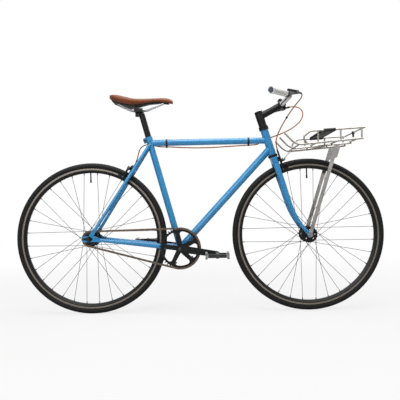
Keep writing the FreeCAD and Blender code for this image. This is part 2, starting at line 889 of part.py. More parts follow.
def bar_points():
    """Corners of the left half of the bar, from its middle to its end."""
    return [bar_centre, bar_centre + Y * bar_straight_half,
            bar_centre + V(bar_bend_forward, bar_bend_lateral, bar_bend_rise),
            bar_centre + V(-bar_end_back, bar_end_lateral, bar_end_rise)]


bar_end = bar_points()[-1]
grip_out = (bar_end - bar_points()[-2]).normalize()
grip_ahead = grip_out.cross(Z).normalize()


def handlebar():
    left = bar_points()
    right = [V(p.x, -p.y, p.z) for p in left[1:]]
    bar = swept(right[::-1] + left[1:], bar_radius, bar_bend_radius)[0]
    bulge = across(bar_centre.x, bar_centre.z, -bar_bulge_half_width, bar_bulge_half_width, bar_clamp_radius)
    hollow = rod(bar_end - grip_out * grip_length, bar_end + grip_out * overrun, plug_radius)
    return weld([bar, bulge]).cut(hollow).cut(mirrored(hollow))


def grip():
    """The left grip, thicker at both ends than in the middle."""
    inner_end = bar_end - grip_out * grip_length
    middle = bar_end - grip_out * (grip_length / 2)
    halves = [Part.makeCone(grip_radius, grip_waist_radius, grip_length / 2, inner_end, grip_out),
              Part.makeCone(grip_waist_radius, grip_radius, grip_length / 2, middle, grip_out)]
    return fuse(halves).cut(rod(inner_end - grip_out * overrun, bar_end + grip_out * overrun, bar_radius))


def bar_plug():
    stem_part = rod(bar_end - grip_out * plug_depth, bar_end, plug_radius)
    return fuse([stem_part, rod(bar_end, bar_end + grip_out * plug_head, plug_head_radius)])


lever_place = bar_end - grip_out * lever_clamp_from_end
lever_pivot_place = lever_place + grip_ahead * lever_arm_length
lever_slot_half_height = lever_blade_half_height + lever_blade_gap
lever_bracket_half_height = lever_slot_half_height + lever_fork_wall


def at_lever(shape):
    """A local shape at the left lever: x ahead of the bar, y outboard and z up."""
    return set_in(shape, lever_place, grip_ahead, grip_out)


def lever_bracket():
    """The left bracket: a ring on the bar, an arm with two walls for the blade, and the cable's barrel."""
    half = lever_clamp_half_width
    outer = bar_radius + lever_clamp_wall
    high = lever_bracket_half_height
    ring = Part.makeCylinder(outer, 2 * half, V(0, -half, 0), Y)
    arm = capsule((0, 0), (lever_arm_length, 0), lever_arm_half_width, -high, high)
    barrel_start = V(lever_arm_length, -lever_arm_half_width / 2, 0)
    barrel = Part.makeCylinder(barrel_radius, barrel_length + lever_arm_half_width / 2, barrel_start, -Y)
    deep = lever_slot_half_height
    slot_length = 4 * lever_arm_half_width
    slot = Part.makeBox(slot_length, slot_length, 2 * deep,
                        V(lever_arm_length - 1.5 * lever_arm_half_width, -lever_arm_half_width / 2, -deep))
    pin = Part.makeCylinder(lever_pivot_radius, 2 * high, V(lever_arm_length, 0, -high))
    bore = Part.makeCylinder(bar_radius, 4 * half, V(0, -2 * half, 0), Y)
    solid = fuse([ring, arm, barrel]).cut(bore).cut(slot)
    room = lever_blade_half_width + lever_blade_gap
    cavity = Part.makeCylinder(room, 2 * deep, V(lever_arm_length, 0, -deep))
    return at_lever(fuse([solid.cut(cavity), pin]))


blade_bow_share = 0.36
blade_bow_forward = 6.0


def lever_blade():
    """The left blade, bowed a little ahead of its pivot."""
    bow = (lever_arm_length + blade_bow_forward, lever_blade_length * blade_bow_share)
    tip = (lever_arm_length, lever_blade_length)
    height = lever_blade_half_height
    solid = ribbon([(lever_arm_length, 0), bow, tip], [lever_blade_half_width] * 2, -height, height)
    bore = lever_pivot_radius + running_fit
    hole = Part.makeCylinder(bore, 4 * height, V(lever_arm_length, 0, -2 * height))
    return at_lever(solid.cut(hole))


barrel_end = lever_pivot_place - grip_out * (lever_arm_half_width + barrel_length + weld_gap)


# Brake calipers
lower_layer = bridge_plate_thickness + layer_gap
upper_layer = lower_layer + arm_thickness + layer_gap
arms_top = upper_layer + arm_thickness
nut_face = arms_top + layer_gap + mount_nut_height


def caliper(set_place, reach, sink, ahead):
    """The bridge with its bolt and pivot, the side arm and the centre arm, set on a mount.

    reach is from the bolt down to the rim's brake track, sink is how deep the bolt goes into the mount, and
    ahead is the thickness of what a second nut holds on the bolt's front end.
    """
    shoe_lateral = rim_half_width + shoe_gap + shoe_thickness
    pivot = (side_pivot_lateral, side_pivot_height)
    bar = capsule((0, 0), pivot, arm_half_width, 0, bridge_plate_thickness)
    second_nut = mount_nut_height if ahead else 0
    bolt = Part.makeCylinder(brake_bolt_radius, sink + nut_face + ahead + second_nut, V(0, 0, -sink))
    nut = Part.makeCylinder(mount_nut_radius, mount_nut_height, V(0, 0, arms_top + layer_gap))
    side_pin = Part.makeCylinder(brake_bolt_radius, lower_layer + arm_thickness, V(*pivot, 0))
    bridge = fuse([bar, bolt, nut, side_pin])
    if ahead:
        bridge = fuse([bridge, Part.makeCylinder(mount_nut_radius, second_nut, V(0, 0, nut_face + ahead))])

    def shoe(side, layer):
        size = V(shoe_thickness, 2 * shoe_half_height, 2 * shoe_half_length)
        inner = rim_half_width + shoe_gap
        corner = V(inner if side > 0 else -inner - size.x, -reach - shoe_half_height,
                   layer + arm_thickness / 2 - shoe_half_length)
        return Part.makeBox(size.x, size.y, size.z, corner)

    def pivot_hole(place, low):
        return Part.makeCylinder(brake_bolt_radius + running_fit, 2 * arms_top, V(*place, low - arms_top / 2))

    low = lower_layer
    top = lower_layer + arm_thickness
    middle = (low + top) / 2
    barrel_foot = V(-cable_lateral, barrel_height, middle)
    leg = [(-leg_bow_lateral, side_pivot_height), (-leg_bow_lateral, -leg_bow_low), (-shoe_lateral, -reach)]
    over = [pivot, (0, barrel_height), leg[0]]
    side_arm = fuse([
        ribbon(over, [arm_half_width] * 2, low, top),
        ribbon(leg, [leg_half_width] * 2, low, top),
        capsule(leg[0], (-cable_lateral, barrel_height), arm_half_width, low, top),
        Part.makeCylinder(caliper_barrel_radius, caliper_barrel_rise, barrel_foot, Y),
    ])
    side_arm = side_arm.cut(Part.makeCylinder(arm_half_width + layer_gap, 2 * arms_top, V(0, 0, -arms_top)))
    wire_foot = V(-cable_lateral, -cable_lateral / 2, middle)
    wire_bore = Part.makeCylinder(wire_bore_radius, 2 * cable_lateral, wire_foot, Y)
    side_shoe = shoe(-1, low)
    side_arm = side_arm.cut(pivot_hole(pivot, low)).cut(wire_bore).cut(side_shoe)

    anchor = (-cable_lateral, anchor_height)
    far_leg = [(leg_bow_lateral, -arm_half_width), (leg_bow_lateral, -leg_bow_low), (shoe_lateral, -reach)]
    centre_arm = fuse([
        ribbon([anchor, (0, 0), far_leg[0]], [leg_half_width, arm_half_width], upper_layer, arms_top),
        ribbon(far_leg, [leg_half_width] * 2, upper_layer, arms_top),
    ])
    centre_shoe = shoe(1, upper_layer)
    centre_arm = centre_arm.cut(pivot_hole((0, 0), upper_layer)).cut(centre_shoe)
    places = [bridge, side_arm, side_shoe, centre_arm, centre_shoe]
    return [set_place(shape) for shape in places]


front_mount = steer_point(brake_bolt_height, blade_half_depth)
rear_mount = bridge_place + stay_back * bridge_radius
track_radius = (rim_edge_radius + rim_shoulder_radius) / 2


def front_caliper():
    """The front caliper on the crown; its local x runs to the left."""
    def place(shape):
        return set_in(shape, front_mount, Y, head_up)
    return caliper(place, brake_bolt_height - track_radius, 2 * blade_half_depth, tang_thickness)


def rear_caliper():
    """The rear caliper behind the stay bridge; its local x runs to the right."""
    def place(shape):
        return set_in(shape, rear_mount, -Y, stay_up)
    return caliper(place, bridge_distance - track_radius, 2 * bridge_radius, 0)


# Wheels
def tyre(centre):
    """A hollow tyre whose beads sit between the rim's edges."""
    bead = rim_half_width - rim_wall - bead_clearance
    foot = rim_edge_radius - bead_height
    inner_bead = bead - tyre_wall

    def at(radius, y):
        return centre + V(radius, y, 0)

    neck = rim_edge_radius + bead_clearance
    edges = [
        Part.makeLine(at(foot, -bead), at(neck, -bead)),
        Part.Arc(at(neck, -bead), at(tyre_radius, 0), at(neck, bead)).toShape(),
        Part.makeLine(at(neck, bead), at(foot, bead)),
        Part.makeLine(at(foot, bead), at(foot, inner_bead)),
        Part.makeLine(at(foot, inner_bead), at(neck, inner_bead)),
        Part.Arc(at(neck, inner_bead), at(tyre_radius - tyre_wall, 0), at(neck, -inner_bead)).toShape(),
        Part.makeLine(at(neck, -inner_bead), at(foot, -inner_bead)),
        Part.makeLine(at(foot, -inner_bead), at(foot, -bead)),
    ]
    return Part.Face(Part.Wire(edges)).revolve(centre, Y, 360)


def spoke_lines(flange_lateral):
    """Each spoke's ends relative to the wheel's centre, and which way its elbow goes through the flange."""
    step = 360 / spoke_count
    lines = []
    for k in range(spoke_count):
        side = -1 if k % 2 == 0 else 1
        leading = (k // 2) % 2 == 0
        rim_angle = 90 + step / 2 + step * k
        hub_angle = rim_angle + (spoke_cross_angle if leading else -spoke_cross_angle)
        outward = side if leading else -side
        beside = outward * (flange_thickness / 2 + spoke_radius + spoke_hole_clearance)
        hub_end = direction(hub_angle) * spoke_circle_radius + Y * (side * flange_lateral + beside)
        rim_end = direction(rim_angle) * (rim_inner_radius + nipple_length / 3)
        rim_end += Y * (side * spoke_lateral_at_rim)
        lines.append((hub_end, rim_end, outward))
    return lines


def spokes(centre, flange_lateral):
    """Spokes crossed three times, each with its nipple, its elbow through the flange and its head."""
    solids = []
    for hub_end, rim_end, outward in spoke_lines(flange_lateral):
        run = (rim_end - hub_end).normalize()
        through = Y * (-outward * (flange_thickness + 2 * spoke_radius + spoke_hole_clearance))
        head_start = hub_end + through
        head_end = head_start - Y * (outward * spoke_head)
        solids.append(fuse([
            rod(centre + hub_end, centre + rim_end, spoke_radius),
            rod(centre + rim_end - run * nipple_length, centre + rim_end, nipple_radius),
            Part.makeSphere(spoke_radius, centre + hub_end),
            rod(centre + hub_end, centre + head_start, spoke_radius),
            rod(centre + head_start, centre + head_end, spoke_head_radius),
        ]))
    return solids


def rim(centre, flange_lateral):
    """A box rim with a well for the tyre, holes for the nipples and a hole for the valve."""
    half, nose, wall = rim_half_width, rim_nose_half_width, rim_wall
    outline = [(rim_edge_radius, -half), (rim_edge_radius, -half + wall), (rim_well_radius, -half + wall),
               (rim_well_radius, half - wall), (rim_edge_radius, half - wall), (rim_edge_radius, half),
               (rim_shoulder_radius, half), (rim_inner_radius, nose), (rim_inner_radius, -nose),
               (rim_shoulder_radius, -half)]
    floor = rim_well_radius - wall
    hollow = [(floor, -half + wall), (floor, half - wall), (rim_shoulder_radius + wall, half - wall),
              (rim_inner_radius + wall, nose - wall), (rim_inner_radius + wall, -nose + wall),
              (rim_shoulder_radius + wall, -half + wall)]
    solid = turned(outline, centre.x, centre.z).cut(turned(hollow, centre.x, centre.z))
    holes = []
    for hub_end, rim_end, _ in spoke_lines(flange_lateral):
        run = (rim_end - hub_end).normalize()
        foot = centre + rim_end - run * nipple_length
        holes.append(rod(foot, centre + rim_end, nipple_radius + nipple_hole_clearance))
    holes.append(rod(centre + Z * hub_barrel_radius, centre + Z * tyre_radius, valve_radius + bolt_fit))
    return solid.cut(holes)


def valve(centre):
    """The valve stem through the rim, with its cap towards the hub."""
    top = centre + Z * (rim_well_radius + rim_wall)
    low = centre + Z * (rim_inner_radius - valve_length)
    return fuse([rod(low, top, valve_radius), rod(low, low + Z * valve_cap_length, valve_cap_radius)])


def hub(centre, outline, flange_lateral, half_length, axle_radius):
    """A high-flange hub with windows and spoke holes in its flanges, and a bearing in each end."""
    shell = turned(outline, centre.x, centre.z)
    holes = []
    for hub_end, _, _ in spoke_lines(flange_lateral):
        side = math.copysign(1, hub_end.y)
        place = centre + hub_end
        near, far = side * (flange_lateral - flange_thickness), side * (flange_lateral + flange_thickness)
        holes.append(across(place.x, place.z, near, far, spoke_radius + spoke_hole_clearance))
    for k in range(spoke_count // 4):
        place = centre + direction(360 * k / (spoke_count // 4)) * flange_window_circle_radius
        for side in (-1, 1):
            near, far = side * (flange_lateral - flange_thickness), side * (flange_lateral + flange_thickness)
            holes.append(across(place.x, place.z, near, far, flange_window_radius))
    bearings = []
    for side in (-1, 1):
        face, back = side * half_length, side * (half_length - bearing_width)
        bore = axle_radius + running_fit
        bearings.append(turned([(bore, back), (bearing_radius, back), (bearing_radius, face), (bore, face)],
                               centre.x, centre.z))
    return [shell.cut(holes)] + bearings


def hub_side(side, half_length, end_radius, flange_lateral):
    """One side of a hub's outline, from the bore at its end face to the barrel: (radius, y) points."""
    thick = flange_thickness / 2
    return [(bearing_radius, side * half_length), (end_radius, side * half_length),
            (end_radius, side * (flange_lateral + thick)), (flange_radius, side * (flange_lateral + thick)),
            (flange_radius, side * (flange_lateral - thick)),
            (hub_barrel_radius, side * (flange_lateral - thick))]


def hub_bore(half_length):
    """The inside of a hub: a bearing seat at each end of a narrower bore."""
    seat = half_length - bearing_width
    return [(bearing_radius, -half_length), (bearing_radius, -seat), (hub_bore_radius, -seat),
            (hub_bore_radius, seat), (bearing_radius, seat), (bearing_radius, half_length)]


def front_hub():
    half = front_hub_half_length
    right = hub_side(-1, half, hub_barrel_radius, front_flange_lateral)
    left = hub_side(1, half, hub_barrel_radius, front_flange_lateral)
    outline = right + left[::-1] + hub_bore(half)[::-1][1:-1]
    return hub(front_axle_place, outline, front_flange_lateral, half, front_axle_radius)


cog_outer_face = -chain_line - sprocket_thickness / 2
cog_inner_face = -chain_line + sprocket_thickness / 2


def rear_hub():
    """The fixed hub: the cog's seat and shoulder, and the lockring's seat, are on the right."""
    half = rear_hub_half_length
    thick = flange_thickness / 2
    right = [(bearing_radius, -half), (lockring_seat_radius, -half), (lockring_seat_radius, cog_outer_face),
             (cog_seat_radius, cog_outer_face), (cog_seat_radius, cog_inner_face),
             (cog_shoulder_radius, cog_inner_face)]
    right += [(cog_shoulder_radius, -rear_flange_lateral - thick)]
    right += hub_side(-1, half, cog_shoulder_radius, rear_flange_lateral)[3:]
    left = hub_side(1, half, hub_barrel_radius, rear_flange_lateral)
    outline = right + left[::-1] + hub_bore(half)[::-1][1:-1]
    return hub(rear_axle_place, outline, rear_flange_lateral, half, rear_axle_radius)


def axle(centre, radius, hub_half_length, half_spacing, end):
    """A wheel's axle with bare stubs, and a cone at each side between bearing and frame."""
    inner_end = end - axle_stub
    shaft = across(centre.x, centre.z, -inner_end, inner_end, radius)
    stubs = across(centre.x, centre.z, -end, end, radius - axle_stub_step)
    cones = [across(centre.x, centre.z, side * (hub_half_length + cone_gap), side * half_spacing, cone_radius)
             for side in (-1, 1)]
    return fuse([shaft, stubs] + cones)


def axle_nut(centre, face, radius):
    """The left track nut with its washer, from the face that it bears on."""
    washer = across(centre.x, centre.z, face, face + washer_thickness, washer_radius)
    nut = hexagon(centre, nut_across_flats, face + washer_thickness, face + washer_thickness + nut_height)
    reach = face + washer_thickness + nut_height
    return fuse([washer, nut]).cut(across(centre.x, centre.z, face - overrun, reach + overrun, radius))


rear_nut_face = rear_spacing / 2 + track_end_thickness
strut_face = front_spacing / 2 + fork_tip_thickness
front_nut_face = strut_face + strut_thickness
nut_stack = washer_thickness + nut_height + axle_stub


# Drive
sprocket_up = V(-stay_forward.z, 0, stay_forward.x)


def sprocket(teeth, centre, bore):
    """A toothed disc whose seats lie where the chain's rollers do."""
    radius = pitch_radius(teeth)
    seat = roller_radius + roller_seat_clearance
    step = 2 * math.pi / teeth
    spread = math.radians(seat_arc_angle)

    def polar(distance, angle):
        return V(distance * math.cos(angle), distance * math.sin(angle), 0)

    def seat_points(k):
        angle = (k + 0.5) * step
        inward = angle + math.pi
        middle = polar(radius, angle)
        return [middle + polar(seat, inward + turn) for turn in (spread, 0, -spread)]

    edges = []
    for k in range(teeth):
        first, low, last = seat_points(k)
        crest = (k + 1) * step
        aside = polar(tooth_tip_width / 2, crest + math.pi / 2)
        tip = polar(radius + tooth_rise, crest)
        edges.append(Part.Arc(first, low, last).toShape())
        edges.append(Part.makeLine(last, tip - aside))
        edges.append(Part.makeLine(tip - aside, tip + aside))
        edges.append(Part.makeLine(tip + aside, seat_points(k + 1)[0]))
    disc = Part.Face(Part.Wire(edges)).extrude(V(0, 0, sprocket_thickness))
    disc = disc.cut(Part.makeCylinder(bore, sprocket_thickness + 2 * overrun, V(0, 0, -overrun)))
    return set_in(disc, centre + Y * cog_inner_face, stay_forward, sprocket_up)


crank_along = direction(-crank_dip_angle)
crank_above = V(-crank_along.z, 0, crank_along.x)


spider_angles = [spider_first_angle + 72 * k for k in range(5)]


def spider_places():
    """The five chainring bolts, with the crank midway between two of them."""
    angles = [math.radians(angle) for angle in spider_angles]
    return [(bolt_circle_radius * math.cos(t), bolt_circle_radius * math.sin(t)) for t in angles]


def at_crank(shape, depth):
    """A local shape at the bracket: x along the right crank, z outward to the right from a depth."""
    return set_in(shape, bracket - Y * depth, crank_along, crank_above)


def tab_corners(solid):
    """The edges along Y where the tabs meet the inside of the ring."""
    corners = []
    for edge in solid.Edges:
        first, last = edge.Vertexes[0].Point, edge.Vertexes[-1].Point
        out = math.hypot(first.x - bracket.x, first.z - bracket.z)
        if abs((last - first).y) > sprocket_thickness / 2 and abs(out - ring_inner_radius) < running_fit:
            corners.append(edge)
    return corners


def chainring():
    """The toothed ring with a tab inside it for each bolt, each faired into the ring."""
    ring = sprocket(ring_teeth, bracket, ring_inner_radius)
    tabs = []
    for x, y in spider_places():
        outer = (1 + ring_tab_radius / bolt_circle_radius)
        tab = capsule((x, y), (x * outer, y * outer), ring_tab_radius, 0, sprocket_thickness)
        tabs.append(at_crank(tab, -cog_inner_face))
    trim_radius = (ring_inner_radius + pitch_radius(ring_teeth)) / 2
    trim = across(bracket.x, bracket.z, cog_outer_face, cog_inner_face, trim_radius)
    solid = fuse([ring] + [tab.common(trim) for tab in tabs])
    solid = solid.makeFillet(ring_tab_fillet, tab_corners(solid))
    for x, y in spider_places():
        hole = Part.makeCylinder(ring_bolt_radius, 4 * sprocket_thickness, V(x, y, -sprocket_thickness))
        solid = solid.cut(at_crank(hole, -cog_inner_face))
    return solid


crank_outer_face = crank_inner_face + crank_thickness
spider_face = -cog_outer_face
crank_boss_start = shell_half_length + 2 * cup_flange


def tapered_plate(length, root_radius, tip_radius, thickness):
    """A plate along x with round ends of two sizes, joined by straight sides."""
    root = Part.makeCylinder(root_radius, thickness)
    tip = Part.makeCylinder(tip_radius, thickness, V(length, 0, 0))
    slope = math.asin((root_radius - tip_radius) / length)

    def side(radius, x, sign):
        return V(x + radius * math.sin(slope), sign * radius * math.cos(slope), 0)

    corners = [side(root_radius, 0, 1), side(tip_radius, length, 1),
               side(tip_radius, length, -1), side(root_radius, 0, -1)]
    web = Part.Face(Part.makePolygon(corners + corners[:1])).extrude(V(0, 0, thickness))
    return fuse([root, tip, web])


def crank_arm():
    """A crank in its own plane, wider at the bracket than at the pedal."""
    return tapered_plate(crank_length, crank_boss_radius, crank_end_radius, crank_thickness)


def crank_holes():
    """Room for the spindle and the pedal's axle."""
    deep = 4 * crank_inner_face
    return [Part.makeCylinder(spindle_radius, deep, V(0, 0, -deep / 2)),
            Part.makeCylinder(pedal_axle_radius, deep, V(crank_length, 0, -deep / 2))]


def right_crank():
    """The right crank with its five-arm spider."""
    solids = [at_crank(crank_arm(), crank_inner_face)]
    boss = Part.makeCylinder(crank_boss_radius, crank_outer_face - spider_face)
    solids.append(at_crank(boss, spider_face))
    for angle in spider_angles:
        arm = tapered_plate(bolt_circle_radius, spider_root_radius, spider_tip_radius, spider_thickness)
        arm.rotate(V(), Z, angle)
        solids.append(at_crank(arm, spider_face))
    solid = fuse(solids)
    bolts = [Part.makeCylinder(ring_bolt_radius, 2 * crank_inner_face, V(x, y, -crank_inner_face))
             for x, y in spider_places()]
    return solid.cut([at_crank(cut, 0) for cut in crank_holes() + bolts])


def left_crank():
    boss = Part.makeCylinder(crank_boss_radius, crank_outer_face - crank_boss_start)
    solid = fuse([at_crank(crank_arm(), crank_inner_face), at_crank(boss, crank_boss_start)])
    solid = solid.cut([at_crank(cut, 0) for cut in crank_holes()])
    return to_left(solid)


def to_left(shape):
    """A right crank's shape moved to the left crank, half a turn on."""
    turned_shape = mirrored(shape)
    turned_shape.rotate(bracket, Y, 180)
    return turned_shape


def crank_spindle():
    return across(bracket.x, bracket.z, -crank_outer_face, crank_outer_face, spindle_radius)


def crankset_bolts():
    """The two crank bolts and the five chainring bolts."""
    cap = at_crank(Part.makeCylinder(crank_bolt_radius, crank_bolt_head), crank_outer_face)
    bolts = [cap, mirrored(cap)]
    inner = -cog_inner_face
    outer = spider_face + spider_thickness
    for x, y in spider_places():
        shank = Part.makeCylinder(ring_bolt_radius, outer - inner, V(x, y, 0))
        head = Part.makeCylinder(ring_bolt_head_radius, ring_bolt_head, V(x, y, outer - inner))
        nut = Part.makeCylinder(ring_bolt_head_radius, ring_bolt_head, V(x, y, -ring_bolt_head))
        bolts.append(at_crank(fuse([shank, head, nut]), inner))
    return bolts


def slot_plate(length, radius, thickness):
    """A link plate: two round ends joined by straight sides."""
    edges = [
        Part.makeLine(V(0, -radius, 0), V(length, -radius, 0)),
        Part.Arc(V(length, -radius, 0), V(length + radius, 0, 0), V(length, radius, 0)).toShape(),
        Part.makeLine(V(length, radius, 0), V(0, radius, 0)),
        Part.Arc(V(0, radius, 0), V(-radius, 0, 0), V(0, -radius, 0)).toShape(),
    ]
    return Part.Face(Part.Wire(edges)).extrude(V(0, 0, thickness))


def chain_pins():
    """The pins of the closed chain in order: round the ring, along the top, round the cog, back below."""
    def round_sprocket(centre, teeth, count, middle):
        step = 2 * math.pi / teeth
        angles = [middle + (k - (count - 1) / 2) * step for k in range(count)]
        radius = pitch_radius(teeth)
        return [centre + (stay_forward * math.cos(t) + sprocket_up * math.sin(t)) * radius for t in angles]

    ring = round_sprocket(bracket, ring_teeth, ring_wrap_pins, 0)
    cog = round_sprocket(rear_axle_place, cog_teeth, cog_wrap_pins, math.pi)

    def between(a, b):
        return [a + (b - a) * (k / run_links) for k in range(1, run_links)]

    return ring + between(ring[-1], cog[0]) + cog + between(cog[-1], ring[0])


def chain():
    """Inner links with their rollers, and outer plates with their pin heads, in turn."""
    half_gap = inner_gap / 2
    plate = link_plate_thickness
    inner_plates = [slot_plate(chain_pitch, inner_plate_radius, plate) for _ in range(2)]
    inner_plates[0].translate(V(0, 0, half_gap))
    inner_plates[1].translate(V(0, 0, -half_gap - plate))
    rollers = [Part.makeCylinder(roller_radius, inner_gap, V(x, 0, -half_gap)) for x in (0, chain_pitch)]
    inner_link = fuse(inner_plates + rollers)
    outer = slot_plate(chain_pitch, outer_plate_radius, plate)
    heads = [Part.makeCylinder(pin_radius, plate + pin_head, V(x, 0, 0)) for x in (0, chain_pitch)]
    outer_plate = fuse([outer] + heads)
    outer_plate.translate(V(0, 0, half_gap + plate))
    pins = chain_pins()
    solids = []
    for k, (a, b) in enumerate(zip(pins, pins[1:] + pins[:1])):
        along = (b - a).normalize()
        above = V(-along.z, 0, along.x)
        place = a - Y * chain_line
        if k % 2 == 0:
            solids.append(set_in(inner_link, place, along, above))
        else:
            solids.append(set_in(outer_plate, place, along, above))
            solids.append(set_in(outer_plate, place + along * chain_pitch, -along, above))
    return solids


# Pedals
pedal_start = crank_outer_face + pedal_gap
pedal_place = bracket + crank_along * crank_length
pedal_cap = cage_thickness


def pedal_axle():
    """The right pedal's axle, screwed into the crank's end."""
    x, z = pedal_place.x, pedal_place.z
    shaft = across(x, z, -crank_inner_face, -pedal_start - pedal_width + 2 * pedal_cap, pedal_axle_radius)
    collar = across(x, z, -crank_outer_face, -pedal_start + weld_gap, pedal_collar_radius)
    return fuse([shaft, collar])


def pedal():
    """The right pedal: a body with two cross arms, and a toothless cage channel in front and behind."""
    x, z = pedal_place.x, pedal_place.z
    start, end = -pedal_start, -pedal_start - pedal_width
    half = pedal_half_length - cage_thickness
    barrel = across(x, z, start, end, pedal_barrel_radius)
    arms = []
    for y in (start - pedal_arm_width, end):
        corner = V(x - half, y, z - pedal_arm_half_height)
        arms.append(Part.makeBox(2 * half, pedal_arm_width, 2 * pedal_arm_half_height, corner))
    bore = across(x, z, start + overrun, end + pedal_cap, pedal_axle_radius + running_fit)
    body = fuse([barrel] + arms).cut(bore)
    high, lip, thick = cage_half_height, cage_lip, cage_thickness
    face = pedal_half_length
    outline = [(face, -high), (face, high), (face - lip, high), (face - lip, high - thick),
               (face - thick, high - thick), (face - thick, thick - high), (face - lip, thick - high),
               (face - lip, -high)]
    corners = [V(x + across_x, start, z + up) for across_x, up in outline]
    cage = Part.Face(Part.makePolygon(corners + corners[:1])).extrude(V(0, end - start, 0))
    other = cage.mirror(V(x, 0, z), V(1, 0, 0))
    return [body, cage, other]


def left_pedal_shape(shape):
    """A right pedal's shape carried to the left crank, still level."""
    moved = mirrored(shape)
    moved.translate(crank_along * (-2 * crank_length))
    return moved


# Seatpost and saddle
rail_height = post_top.z + rail_rise
clamp_centre_x = post_top.x - clamp_setback
clamp_centre = V(clamp_centre_x, 0, rail_height)
rail_nose = clamp_centre + rail_nose_offset
rail_tail = clamp_centre + rail_tail_offset
rail_front = clamp_centre_x + rail_front_run
rail_back = clamp_centre_x - rail_back_run
saddle_stations = []
for ahead, half, *heights in saddle_offsets:
    saddle_stations.append((clamp_centre_x + ahead, half, *[rail_height + rise for rise in heights]))
cradle_top = rail_height - clamp_grip_gap / 2
cradle_low = cradle_top - cradle_thickness
plate_low = rail_height + clamp_grip_gap / 2
plate_top = plate_low + clamp_plate_thickness


def saddle_rail():
    """The left rail: a straight stretch for the clamp, bent up to the nose and the tail."""
    straight = [V(x, rail_spread, rail_height) for x in (rail_front, rail_back)]
    return swept([rail_nose] + straight + [rail_tail], rail_radius, rail_bend_radius)[0]


def seatpost():
    foot = seat_top - seat_up * post_insertion
    post = rod(foot, post_top, post_radius)
    head_low_end = V(clamp_centre_x, 0, post_top.z - cradle_thickness)
    head = rod(head_low_end, V(clamp_centre_x, 0, cradle_low), post_head_radius)
    return fuse([post, head])


def saddle_clamp():
    """The cradle under the rails, the plate over them and the bolt that draws them together."""
    bolt_foot = V(clamp_centre_x, 0, cradle_low)
    hole = Part.makeCylinder(clamp_bolt_radius + bolt_fit, plate_top - cradle_low + overrun, bolt_foot)
    blocks = []
    for low, thickness in ((cradle_low, cradle_thickness), (plate_low, clamp_plate_thickness)):
        corner = V(clamp_centre_x - clamp_half_length, -clamp_half_width, low)
        block = Part.makeBox(2 * clamp_half_length, 2 * clamp_half_width, thickness, corner)
        blocks.append(block.cut(hole).cut(both(saddle_rail())))
    shank = Part.makeCylinder(clamp_bolt_radius, plate_top - cradle_low, bolt_foot)
    head = Part.makeCylinder(clamp_bolt_head_radius, clamp_bolt_head, V(clamp_centre_x, 0, plate_top))
    return blocks + [fuse([shank, head])]


def saddle_section(x, half, crown, side, lower):
    """A closed outline across the saddle: flat below, bulging sides and a crowned top."""
    foot = half * saddle_lower_share
    edge = half * saddle_top_share
    shoulder = (crown + side) / 2
    left_foot, right_foot = V(x, foot, lower), V(x, -foot, lower)
    left_edge, right_edge = V(x, edge, shoulder), V(x, -edge, shoulder)
    return Part.Wire([
        Part.makeLine(left_foot, right_foot),
        Part.Arc(right_foot, V(x, -half, side), right_edge).toShape(),
        Part.Arc(right_edge, V(x, 0, crown), left_edge).toShape(),
        Part.Arc(left_edge, V(x, half, side), left_foot).toShape(),
    ])


def saddle_cover():
    return Part.makeLoft([saddle_section(*station) for station in saddle_stations], True, False)


def saddle_base():
    """The shell under the cover, notched where the rails plug in."""
    sections = []
    for x, half, _, _, lower in saddle_stations[1:-1]:
        wide = half * saddle_lower_share - saddle_base_inset
        slim = wide - saddle_base_inset / 2
        top, low = lower - weld_gap, lower - saddle_base_drop
        corners = [V(x, wide, top), V(x, -wide, top), V(x, -slim, low), V(x, slim, low)]
        sections.append(Part.makePolygon(corners + corners[:1]))
    return Part.makeLoft(sections, True, True).cut(both(saddle_rail()) + [saddle_cover()])


# Front rack: places ahead of the front axle and above the tyre
rack_foot = front_axle_place + Z * tyre_radius
rack_side_points = [(rack_foot.x + x, rack_foot.z + z) for x, z in rack_side_offsets]
rack_loop_points = [(rack_foot.x + x, rack_foot.z + z) for x, z in rack_loop_offsets]
rack_cross_places = [rack_foot.x + x for x in rack_cross_offsets]
rack_upright_places = [rack_foot.x + x for x in rack_upright_offsets]
strap_first = rack_foot.x + strap_offset


def rack_height(x):
    """The height of the platform's side tubes at a place along them."""
    (_, _), (x0, z0), (x1, z1) = rack_side_points
    return z0 + (z1 - z0) * (x - x0) / (x1 - x0)


rack_middle_lateral = strut_face - rack_tube_radius


def rack_tube(points, bend_radius):
    """A bent tube on the rack's left side."""
    corners = [V(x, rack_half_width, z) for x, z in points]
    return swept(corners, rack_tube_radius, bend_radius)[0]


def rack_middle_tube():
    """The left middle tube, straight under the cross tubes from the first to the last."""
    ends = [V(x, rack_middle_lateral, rack_height(x) - rack_middle_drop)
            for x in (rack_cross_places[0] - rack_tube_radius, rack_cross_places[-1] + rack_tube_radius)]
    return rod(*ends, rack_tube_radius)


def rack_centre_tube():
    """The tube on the bike's plane: turned up at the rear, it ends at the second cross tube."""
    last = rack_cross_places[1]
    points = rack_side_points[:2] + [(last, rack_height(last))]
    return swept([V(x, 0, z) for x, z in points], rack_tube_radius, rack_bend_radius)[0]


def rack_platform():
    """The welded platform: side and centre tubes turned up at the rear, and middle tubes, on cross tubes."""
    sides = both(rack_tube(rack_side_points, rack_bend_radius))
    middles = both(rack_middle_tube()) + [rack_centre_tube()]
    crossbars = [across(x, rack_height(x), -rack_half_width, rack_half_width, rack_cross_radius)
                 for x in rack_cross_places]
    return weld(sides + middles + crossbars)


def upper_rail_height(x):
    (x0, z0), (x1, z1) = rack_loop_points[-2:]
    return z0 + (z1 - z0) * (x - x0) / (x1 - x0)


